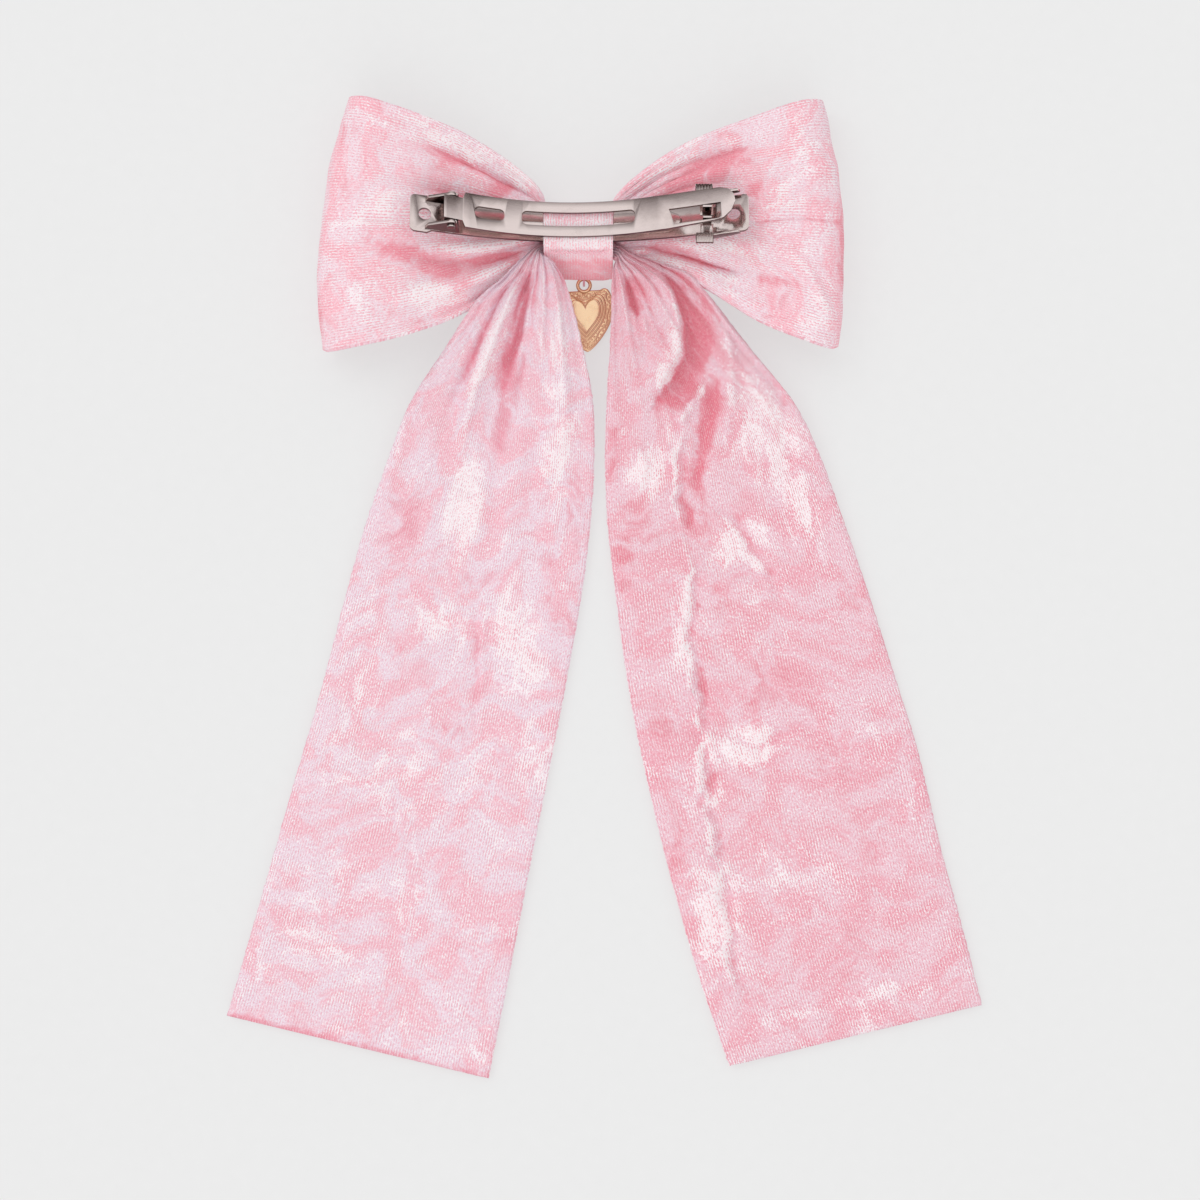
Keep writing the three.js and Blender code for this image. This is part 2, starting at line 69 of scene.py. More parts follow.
# ---------------------------------------------------------------------------------------- shader wrapper
class Sock:
    """A shader output that takes part in Python arithmetic; each operator adds one Math node."""

    def __init__(self, graph: Graph, socket: bpy.types.NodeSocket) -> None:
        """Keep the graph and the socket that later nodes link to."""
        self.graph = graph
        self.socket = socket

    def __add__(self, other: Sock | float) -> Sock:
        """Sum of this value and another."""
        return self.graph.math("ADD", self, other)

    def __sub__(self, other: Sock | float) -> Sock:
        """This value less another."""
        return self.graph.math("SUBTRACT", self, other)

    def __rsub__(self, other: float) -> Sock:
        """A number less this value."""
        return self.graph.math("SUBTRACT", other, self)

    def __mul__(self, other: Sock | float) -> Sock:
        """Product of this value and another."""
        return self.graph.math("MULTIPLY", self, other)

    __radd__ = __add__
    __rmul__ = __mul__


class Graph:
    """The node tree of a material or a world, with one method for any node and short ones for maths."""

    def __init__(self, owner: bpy.types.Material | bpy.types.World) -> None:
        """Start with an empty tree.

        Args:
            owner: the material or world whose tree this is.
        """
        self.owner = owner
        owner.use_nodes = True
        self.tree = owner.node_tree
        self.tree.nodes.clear()

    def node(self, kind: str, settings: dict | None = None, inputs: dict | None = None) -> bpy.types.Node:
        """Add a node.

        Args:
            kind: the node's Blender type name.
            settings: properties set before its sockets are used, with a ramp's stops under "stops".
            inputs: values or links by socket name or index.

        Returns:
            The new node.
        """
        made = self.tree.nodes.new(kind)
        settings = dict(settings or {})
        for i, (position, colour) in enumerate(settings.pop("stops", ())):
            made.color_ramp.elements[i].position = position
            made.color_ramp.elements[i].color = colour
        for key, value in settings.items():
            setattr(made, key, value)
        for key, value in (inputs or {}).items():
            self.feed(made.inputs[key], value)
        return made

    def feed(self, target: bpy.types.NodeSocket, value: Sock | float | tuple) -> None:
        """Link a socket, or set its default where the value is a plain number or tuple."""
        if isinstance(value, Sock):
            self.tree.links.new(value.socket, target)
        else:
            target.default_value = value

    def out(self, made: bpy.types.Node, output: str | int = 0) -> Sock:
        """The wrapped output of a node."""
        return Sock(self, made.outputs[output])

    def math(self, operation: str, *values: Sock | float) -> Sock:
        """Add a Math node on the given values."""
        made = self.node("ShaderNodeMath", {"operation": operation}, dict(enumerate(values)))
        return self.out(made)

    def scaled(self, vector: Sock, factors: tuple[float, float, float]) -> Sock:
        """A vector multiplied part by part."""
        made = self.node("ShaderNodeVectorMath", {"operation": "MULTIPLY"}, {0: vector, 1: factors})
        return self.out(made)

    def noise(self, vector: Sock, scale: float = 1.0, detail: float = 3.0, roughness: float = 0.5) -> Sock:
        """Smooth noise from 0 to 1 at the given vector."""
        inputs = {"Vector": vector, "Scale": scale, "Detail": detail, "Roughness": roughness}
        return self.out(self.node("ShaderNodeTexNoise", {"noise_dimensions": "3D"}, inputs))

    def step(self, value: Sock, low: float, high: float) -> Sock:
        """A smooth step of a value between two levels."""
        inputs = {"Value": value, "From Min": low, "From Max": high}
        return self.out(self.node("ShaderNodeMapRange", {"interpolation_type": "SMOOTHSTEP"}, inputs))

    def mix(self, first: Sock | tuple, second: Sock | tuple, factor: Sock | float) -> Sock:
        """Blend two colours by a factor."""
        made = self.node("ShaderNodeMix", {"data_type": "RGBA"}, {0: factor, 6: first, 7: second})
        return self.out(made, 2)

    def bump(self, height: Sock, strength: float, distance: float) -> Sock:
        """A Bump node's normal from a height."""
        inputs = {"Height": height, "Strength": strength, "Distance": distance}
        return self.out(self.node("ShaderNodeBump", {}, inputs), "Normal")

    def surface(self, inputs: dict) -> bpy.types.Material:
        """Close the tree with a Principled BSDF and give the material back."""
        shader = self.node("ShaderNodeBsdfPrincipled", {}, inputs)
        self.node("ShaderNodeOutputMaterial", {}, {"Surface": self.out(shader)})
        return self.owner


def linear(code: str) -> tuple[float, float, float, float]:
    """A linear colour from a hexadecimal code such as "F2B8CB"."""
    parts = [int(code[i:i + 2], 16) / 255 for i in (0, 2, 4)]
    return (*[c / 12.92 if c <= 0.04045 else ((c + 0.055) / 1.055) ** 2.4 for c in parts], 1.0)


# ---------------------------------------------------------------------------------------- finishes
@dataclass(frozen=True)
class CrushedVelvet:
    """Panne velvet: pile laid every way in rose, lilac and coral patches over fine knit ribs, with painted
    sheen.
    """

    name: str
    rose: str = "FBC3CE"
    lilac: str = "F5D2DC"
    coral: str = "F28D9D"
    # Near-white colour of the painted sheen and painted highlights.
    painted_gleam: str = "FFF6F9"
    depth: float = 0.5
    pale: float = 0.0
    rib_pitch: float = 0.66

    def build(self) -> bpy.types.Material:
        """Make the material; its pattern follows the cloth's own UV map, laid out in millimetres."""
        g = Graph(bpy.data.materials.new(self.name))
        cloth = g.out(g.node("ShaderNodeUVMap", {"uv_map": "cloth"}), "UV")
        drift = g.out(g.node("ShaderNodeTexNoise", {}, {"Vector": g.scaled(cloth, (0.05, 0.035, 1.0)),
                                                       "Scale": 1.0, "Detail": 3.0}), "Color")
        wander = g.out(g.node("ShaderNodeVectorMath", {"operation": "MULTIPLY_ADD"},
                              {0: drift, 1: (26.0, 26.0, 0.0), 2: cloth}))
        # Vertex marks: coral, holding crushed pile and painted shade in folds and hollows, and painted
        # highlights.
        laid_coral_and_shade = g.out(g.node("ShaderNodeAttribute", {"attribute_name": Mark.CORAL.value}), "Fac")
        laid_painted_gleam = g.out(g.node("ShaderNodeAttribute", {"attribute_name": Mark.GLEAM.value}), "Fac")

        broad = g.noise(g.scaled(wander, (0.07, 0.045, 1.0)), detail=5.0, roughness=0.6) - 0.5
        torn = g.noise(g.scaled(wander, (0.26, 0.17, 1.0)), detail=8.0, roughness=0.72) - 0.5
        worn = g.noise(g.scaled(wander, (0.19, 0.23, 3.0)), detail=8.0, roughness=0.70) - 0.5
        shade = g.noise(g.scaled(wander, (0.10, 0.12, 5.0)), detail=7.0, roughness=0.62)
        streak = g.noise(g.scaled(cloth, (3.4, 1.5, 1.0)), detail=2.0, roughness=0.75) - 0.5
        fleck = g.noise(g.scaled(cloth, (2.3, 2.0, 1.0)), detail=3.0, roughness=0.9) - 0.5

        wobble = g.noise(g.scaled(cloth, (0.5, 0.22, 1.0)), detail=3.0) * 7.0
        across = g.out(g.node("ShaderNodeSeparateXYZ", {}, {0: cloth}), "X")
        rib = g.math("SINE", across * (2 * math.pi / self.rib_pitch) + wobble) * 0.5 + 0.5
        ribbed = g.step(worn, -0.08, 0.10)
        grain = streak * 0.85 + fleck * 0.62 + (rib - 0.5) * (0.08 + ribbed * 0.16)

        tone = g.mix(linear(self.lilac), linear(self.rose), g.step(shade + grain * 0.3, 0.44, 0.56))
        # Coral patches: random crushed pile, plus the coral mark, which also carries painted shade.
        dark = g.step(laid_coral_and_shade * 0.42 + worn * 1.15 + broad * 0.8 + grain * 0.35, 0.13, 0.42)
        tone = g.mix(tone, linear(self.coral), dark * (laid_coral_and_shade * (0.92 - self.depth) + self.depth))
        # Painted sheen: near-white patches where the pile would catch the light, plus the painted highlight
        # mark.
        painted_sheen = g.step(laid_painted_gleam * 0.32 + torn * 1.15 - broad * 0.8 + grain * 0.9 - laid_coral_and_shade * 0.25,
                     0.13 - self.pale, 0.33 - self.pale)
        tone = g.mix(tone, linear(self.painted_gleam), painted_sheen * 0.90)
        tone = g.mix(tone, linear(self.painted_gleam), g.step(grain, 0.02, 0.14) * (0.74 + painted_sheen * 0.2 - dark * 0.3))
        tone = g.mix(tone, linear(self.coral), g.step(grain * -1.0, 0.02, 0.15) * 0.60)

        height = rib * ribbed * 0.4 + grain * 1.6 + torn * 1.6
        return g.surface({
            "Base Color": tone,
            "Roughness": 0.90 - painted_sheen * 0.38,
            "Normal": g.bump(height, 0.5, 0.00028),
            "Sheen Weight": 0.15,
            "Sheen Roughness": 0.35,
            "Sheen Tint": (1.0, 0.88, 0.92, 1.0),
            "Specular IOR Level": 0.25,
        })


@dataclass(frozen=True)
class PlatedMetal:
    """Bright plating over stamped metal, with a painted dark reflection where it turns steeply away, and
    drawing lines and haze.
    """

    name: str
    bright: str
    dull: str
    painted_dark_reflection: str
    painted_reflection_depth: float
    facing: tuple[float, float, float]
    roughness: float = 0.14
    line: tuple[float, float, float] = (120.0, 2200.0, 2200.0)
    reflection_from: float = 0.36
    reflection_to: float = 0.76
    mottle: float = 0.35

    def build(self) -> bpy.types.Material:
        """Make the material on Object coordinates."""
        g = Graph(bpy.data.materials.new(self.name))
        coordinates = g.node("ShaderNodeTexCoord")
        here = g.out(coordinates, "Object")
        facing = g.node("ShaderNodeVectorMath", {"operation": "DOT_PRODUCT"},
                        {0: g.out(coordinates, "Normal"), 1: self.facing})
        steep = 1.0 - g.math("ABSOLUTE", g.out(facing, "Value"))
        lines = g.noise(g.scaled(here, self.line), detail=4.0, roughness=0.6)
        haze = g.noise(g.scaled(here, (160.0, 160.0, 160.0)), detail=4.0, roughness=0.6)
        cloud = g.noise(g.scaled(here, (420.0, 900.0, 900.0)), detail=3.0, roughness=0.6)
        rub = g.step(haze, 0.46, 0.66)
        tone = g.mix(linear(self.bright), linear(self.dull), rub * 0.30 + lines * 0.12)
        # Painted dark reflection on faces that turn steeply away.
        painted_reflection = g.step(steep + (cloud - 0.5) * self.mottle, self.reflection_from, self.reflection_to)
        tone = g.mix(tone, linear(self.painted_dark_reflection), painted_reflection * self.painted_reflection_depth)
        return g.surface({
            "Base Color": tone,
            "Metallic": 1.0,
            "Roughness": self.roughness + rub * 0.08 + lines * 0.05,
            "Normal": g.bump(lines + haze * 2.0, 0.05, 0.0002),
        })


@dataclass(frozen=True)
class SewingThread:
    """Twisted polyester thread, with its plies as slanting bands."""

    name: str
    light: str = "FAD0D9"
    dark: str = "EDA6B5"

    def build(self) -> bpy.types.Material:
        """Make the material on Object coordinates."""
        g = Graph(bpy.data.materials.new(self.name))
        here = g.out(g.node("ShaderNodeTexCoord"), "Object")
        inputs = {"Vector": here, "Scale": 900.0, "Distortion": 1.5}
        ply = g.out(g.node("ShaderNodeTexWave", {"bands_direction": "DIAGONAL"}, inputs), "Fac")
        fuzz = g.noise(g.scaled(here, (5000.0, 5000.0, 5000.0)))
        tone = g.mix(linear(self.dark), linear(self.light), ply * 0.6 + fuzz * 0.4)
        return g.surface({"Base Color": tone, "Roughness": 0.6 + fuzz * 0.2,
                          "Normal": g.bump(ply, 0.5, 0.0001), "Sheen Weight": 0.3})


# ---------------------------------------------------------------------------------------- cloth drafting
Point = tuple[float, float]


@dataclass(frozen=True)
class Crease:
    """A fold laid along a path on the cloth: a ridge where its depth is positive, else a valley, with
    painted coral shade along it.
    """

    path: tuple[Point, ...]
    depth: float
    left: float
    right: float
    # coral: strength of the painted shade laid along the fold.
    coral: float = 0.0
    fade: float = 0.25
    zigzag: float = 0.0

    def field(self, x: np.ndarray, y: np.ndarray) -> tuple[np.ndarray, np.ndarray]:
        """Height and strength of the fold.

        Args:
            x: plan positions across the bow, in millimetres.
            y: plan positions along it.

        Returns:
            The height that the fold adds, and its strength from 0 to 1, at each point.
        """
        if self.zigzag:
            sway = ripple(y * 0.15, y, 7.0, self.depth) + 0.6 * ripple(y * 0.3, y, 2.6, self.left)
            x = x + self.zigzag * sway
        best = np.full(x.shape, 1e9)
        side = np.zeros(x.shape)
        along = np.zeros(x.shape)
        count = len(self.path) - 1
        for i, (start, end) in enumerate(zip(self.path, self.path[1:])):
            run = (end[0] - start[0], end[1] - start[1])
            squared = run[0] ** 2 + run[1] ** 2
            t = np.clip(((x - start[0]) * run[0] + (y - start[1]) * run[1]) / squared, 0, 1)
            dx = x - start[0] - t * run[0]
            dy = y - start[1] - t * run[1]
            gap = np.hypot(dx, dy)
            near = gap < best
            best = np.where(near, gap, best)
            side = np.where(near, run[0] * dy - run[1] * dx, side)
            along = np.where(near, (i + t) / count, along)
        width = np.where(side > 0, self.left, self.right)
        ends = np.clip(np.minimum(along, 1 - along) / max(self.fade, 1e-3), 0, 1)
        strength = np.exp(-(best / width) ** 2) * (0.15 + 0.85 * ends ** 0.7)
        return self.depth * strength, strength


@dataclass(frozen=True)
class Blot:
    """A listed patch: coral where the pile is crushed or painted shade lies, or a painted highlight; its
    centre, half sizes, turn and strength.
    """

    x: float
    y: float
    wide: float
    tall: float
    turn: float
    strength: float

    def field(self, x: np.ndarray, y: np.ndarray) -> np.ndarray:
        """Strength of the patch at each point."""
        c, s = math.cos(math.radians(self.turn)), math.sin(math.radians(self.turn))
        dx, dy = x - self.x, y - self.y
        distance = ((dx * c + dy * s) / self.wide) ** 2 + ((dy * c - dx * s) / self.tall) ** 2
        return self.strength * np.exp(-distance ** 1.5)


def total(marks: tuple[Blot, ...], x: np.ndarray, y: np.ndarray) -> np.ndarray:
    """Sum of several patches, no more than 1."""
    found = np.zeros(x.shape)
    for mark in marks:
        found = np.maximum(found, mark.field(x, y))
    return found


def spline(points: np.ndarray, t: np.ndarray, closed: bool = False) -> np.ndarray:
    """Points on a smooth curve through control points.

    Args:
        points: control points, one to a row.
        t: places along the curve from 0 to 1.
        closed: whether the last point runs on into the first.

    Returns:
        One row for each place.
    """
    count = len(points)
    spans = count if closed else count - 1
    at = np.clip(t, 0, 1) * spans
    i = np.minimum(at.astype(int), spans - 1)
    f = (at - i)[:, None]

    def pick(k: np.ndarray) -> np.ndarray:
        """Control points by index, wrapped or held at the ends."""
        return points[k % count] if closed else points[np.clip(k, 0, count - 1)]

    a, b, c, d = pick(i - 1), pick(i), pick(i + 1), pick(i + 2)
    return 0.5 * (2 * b + (c - a) * f + (2 * a - 5 * b + 4 * c - d) * f ** 2
                  + (3 * b - a - 3 * c + d) * f ** 3)


def ripple(x: np.ndarray, y: np.ndarray, size: float, seed: float) -> np.ndarray:
    """Smooth noise from about -1 to 1 at plan points, with features of the given size."""
    flat = [noise.noise(Vector((a / size, b / size, seed))) for a, b in zip(x.ravel(), y.ravel())]
    return np.array(flat).reshape(x.shape)


class Mark(Enum):
    """Vertex marks that the velvet reads: coral, partly crushed pile and partly painted shade, and a painted
    highlight.
    """

    CORAL = "coral"
    GLEAM = "painted_gleam"


def cloth_object(name: str, points: np.ndarray, uv: np.ndarray, marks: dict[Mark, np.ndarray],
                 material: bpy.types.Material) -> bpy.types.Object:
    """Make a smooth mesh from a grid whose last column joins its first.

    Args:
        name: the object's name.
        points: grid of positions in metres, rows by columns by 3.
        uv: grid of cloth places in millimetres, rows by columns by 2.
        marks: the coral mark, partly painted shade, and the painted highlight, each a grid of numbers.
        material: its finish.

    Returns:
        The new object.
    """
    rows, columns = points.shape[:2]
    r, c = np.meshgrid(np.arange(rows - 1), np.arange(columns), indexing="ij")
    r2, c2 = r + 1, (c + 1) % columns
    faces = np.stack([r * columns + c, r * columns + c2, r2 * columns + c2, r2 * columns + c], -1)
    mesh = bpy.data.meshes.new(name)
    mesh.from_pydata(points.reshape(-1, 3).tolist(), [], faces.reshape(-1, 4).tolist())
    layer = mesh.uv_layers.new(name="cloth")
    corner = np.empty(len(mesh.loops), dtype=np.int32)
    mesh.loops.foreach_get("vertex_index", corner)
    layer.data.foreach_set("uv", uv.reshape(-1, 2)[corner].astype(np.float32).ravel())
    for key, values in marks.items():
        attribute = mesh.attributes.new(key.value, "FLOAT", "POINT")
        attribute.data.foreach_set("value", values.astype(np.float32).ravel())
    mesh.polygons.foreach_set("use_smooth", np.ones(len(mesh.polygons), dtype=bool))
    mesh.materials.append(material)
    made = bpy.data.objects.new(name, mesh)
    bpy.context.scene.collection.objects.link(made)
    return made


def tidy(piece: bpy.types.Object, merge: float) -> None:
    """Close a piece: weld doubles, cap open ends and turn every face outwards."""
    form = bmesh.new()
    form.from_mesh(piece.data)
    bmesh.ops.remove_doubles(form, verts=form.verts, dist=merge)
    bmesh.ops.holes_fill(form, edges=[e for e in form.edges if e.is_boundary])
    bmesh.ops.recalc_face_normals(form, faces=form.faces)
    for face in form.faces:
        face.smooth = True
    form.to_mesh(piece.data)
    form.free()


def join_ends(piece: bpy.types.Object, rows: int) -> None:
    """Join a ring of cloth's last row of points to its first, and turn every face outwards.

    Args:
        piece: a piece made by cloth_object, still open between its last row and its first.
        rows: how many rows its grid has.
    """
    form = bmesh.new()
    form.from_mesh(piece.data)
    form.verts.ensure_lookup_table()
    count = len(form.verts) // rows
    layer = form.loops.layers.uv["cloth"]
    last = (rows - 1) * count
    for k in range(count):
        ring = [last + k, last + (k + 1) % count, (k + 1) % count, k]
        face = form.faces.new([form.verts[i] for i in ring])
        face.smooth = True
        shown = [form.verts[i].link_loops[0][layer].uv.copy() for i in ring[:2]]
        for loop, value in zip(face.loops, (shown[0], shown[1], shown[1], shown[0])):
            loop[layer].uv = value
    bmesh.ops.recalc_face_normals(form, faces=form.faces)
    form.to_mesh(piece.data)
    form.free()


def softened(values: np.ndarray, passes: int) -> np.ndarray:
    """A grid blurred by repeated averaging with its neighbours."""
    for _ in range(passes):
        padded = np.pad(values, 1, mode="edge")
        values = (padded[:-2, 1:-1] + padded[2:, 1:-1] + padded[1:-1, :-2] + padded[1:-1, 2:]
                  + 2 * padded[1:-1, 1:-1]) / 6
    return values


def painted_fold_light(rise: np.ndarray) -> tuple[np.ndarray, np.ndarray]:
    """How far each point lies in a hollow and on a ridge, from 0 to 1, for painted shade and painted
    highlights there.
    """
    local = rise - softened(rise, 24)
    return np.clip(-local * 0.9 - 0.10, 0, 0.55), np.clip(local * 1.5 - 0.08, 0, 1.0)


# ---------------------------------------------------------------------------------------- the tails
@dataclass
class Tail:
    """A long tail: a strip of doubled velvet gathered at the knot and laid down to the table."""

    node: str
    stations: tuple[tuple[float, ...], ...]  # outer x, y, inner x, y, then the height of each edge
    creases: tuple[Crease, ...]
    coral_and_shade_patches: tuple[Blot, ...]
    painted_gleams: tuple[Blot, ...]
    hem_coral: float
    velvet: CrushedVelvet
    ply: float = 2.6
    cut_width: float = 64.5
    pleats: int = 6
    pleat_depth: float = 0.5
    seed: float = 1.0
    rows: int = 300
    columns: int = 140
    floor: float = 0.35

    def build(self) -> bpy.types.Object:
        """Draft the tail as one closed tube of cloth, flattened, with its gathers, folds and coral along the
        hem.
        """
        control = np.array(self.stations)
        v = np.linspace(0, 1, self.rows) ** 0.95
        line = spline(control, v)
        middle_line = (line[:, :2] + line[:, 2:4]) / 2
        length = np.concatenate([[0], np.cumsum(np.hypot(*np.diff(middle_line, axis=0).T))])
        even = np.linspace(0, 1, self.columns)
        u = 0.6 * even + 0.4 * (0.5 - 0.5 * np.cos(even * math.pi))
        x = line[:, 0, None] * (1 - u) + line[:, 2, None] * u
        y = line[:, 1, None] * (1 - u) + line[:, 3, None] * u
        middle = line[:, 4, None] * (1 - u) + line[:, 5, None] * u
        from_knot = length[:, None] * np.ones_like(x)
        to_hem = length[-1] - from_knot
        rise, coral = self.folds(x, y, u, from_knot)
        # Hollows get painted shade and ridges a painted highlight.
        hollow, ridge = painted_fold_light(rise)
        round_side = np.clip(1 - np.abs(2 * u - 1) ** 12, 0, 1) ** 0.5
        round_hem = np.clip(to_hem / 1.6, 0, 1) ** 0.5 * 0.7 + 0.3 * np.clip(to_hem / 5, 0, 1)
        half = self.ply / 2 * round_side[None, :] * (0.25 + 0.75 * round_hem)
        top = middle + half + rise * np.clip(round_side[None, :] * 1.3, 0, 1) * (0.3 + 0.7 * round_hem)
        low = np.maximum(middle - half + np.minimum(rise, 0) * 0.8, self.floor)
        low = np.minimum(low, top - 0.9 * half - 0.05)
        low = np.maximum(low, self.floor)
        top = np.maximum(top, low + 0.9 * half + 0.03)
        fuzz = ripple(x, y, 1.1, self.seed + 9) * 0.22 * np.abs(2 * u - 1) ** 6
        upper = np.stack([x + fuzz, y + fuzz * (to_hem < 3), top], -1)
        lower = np.stack([x + fuzz, y + fuzz * (to_hem < 3), low], -1)
        points = np.concatenate([upper, lower[:, ::-1]], 1) * MM
        place = np.stack([u[None, :] * self.cut_width + np.zeros_like(x), from_knot + self.seed * 37], -1)
        uv = np.concatenate([place, place[:, ::-1] + (80, 0)], 1)
        # Coral mark: painted shade from pleats, creases and hollows, coral along the hem, and listed
        # crushed-pile and painted-shade patches.
        coral = coral + hollow * 0.8 + self.hem_coral * np.exp(-(to_hem / 2.2) ** 2)
        coral = np.clip(coral + total(self.coral_and_shade_patches, x, y), 0, 1)
        # Painted highlight: listed patches and ridges, less over coral.
        painted_gleam = np.clip(total(self.painted_gleams, x, y) + ridge * 0.8 - coral * 0.5, 0, 1)
        marks = {Mark.CORAL: np.concatenate([coral, coral[:, ::-1] * 0.4], 1),
                 Mark.GLEAM: np.concatenate([painted_gleam, painted_gleam[:, ::-1]], 1)}
        piece = cloth_object(self.node + "_velvet", points, uv, marks, self.velvet.build())
        tidy(piece, 0.00001)
        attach(piece, "bow")
        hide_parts(self.node)
        LOG.info("%s: %.0f mm long, %d faces", self.node, length[-1], len(piece.data.polygons))
        return piece

    def folds(self, x: np.ndarray, y: np.ndarray, u: np.ndarray,
              from_knot: np.ndarray) -> tuple[np.ndarray, np.ndarray]:
        """Height of every fold, and the painted coral shade in its valleys.

        Args:
            x: plan positions across the bow, in millimetres.
            y: plan positions along it.
            u: places across the strip, from 0 at the outer edge to 1.
            from_knot: distance along the strip from its gathered end.

        Returns:
            Height added to the upper face, and painted coral shade from 0 to 1.
        """
        ease = np.clip((from_knot - 5) / 9, 0, 1)
        gather = (0.25 + 0.95 * ease) * np.exp(-((from_knot / 38) ** 2))
        gather = gather + 0.16 * np.exp(-((from_knot / 95) ** 2))
        phase = u[None, :] * self.pleats * 2 * math.pi + 1.3 * ripple(x, y, 21, self.seed) + self.seed
        pleat = np.sin(phase) + 0.45 * np.sin(2.3 * phase + 0.8)
        rise = gather * pleat * self.pleat_depth
        away = np.clip(from_knot / 25, 0, 1)
        soft_waves = (0.55 * ripple(x, y, 17, self.seed + 3) + 0.30 * ripple(x, y * 0.8, 6.5, self.seed + 5)
                      + 0.16 * np.abs(ripple(x, y, 3.4, self.seed + 7)))
        rise = rise + away * soft_waves
        # Painted shade in the pleats' valleys.
        coral = np.clip(-gather * pleat * 0.25, 0, 0.4)
        for crease in self.creases:
            height, strength = crease.field(x, y)
            rise = rise + height
            coral = coral + strength * crease.coral
        return rise, coral


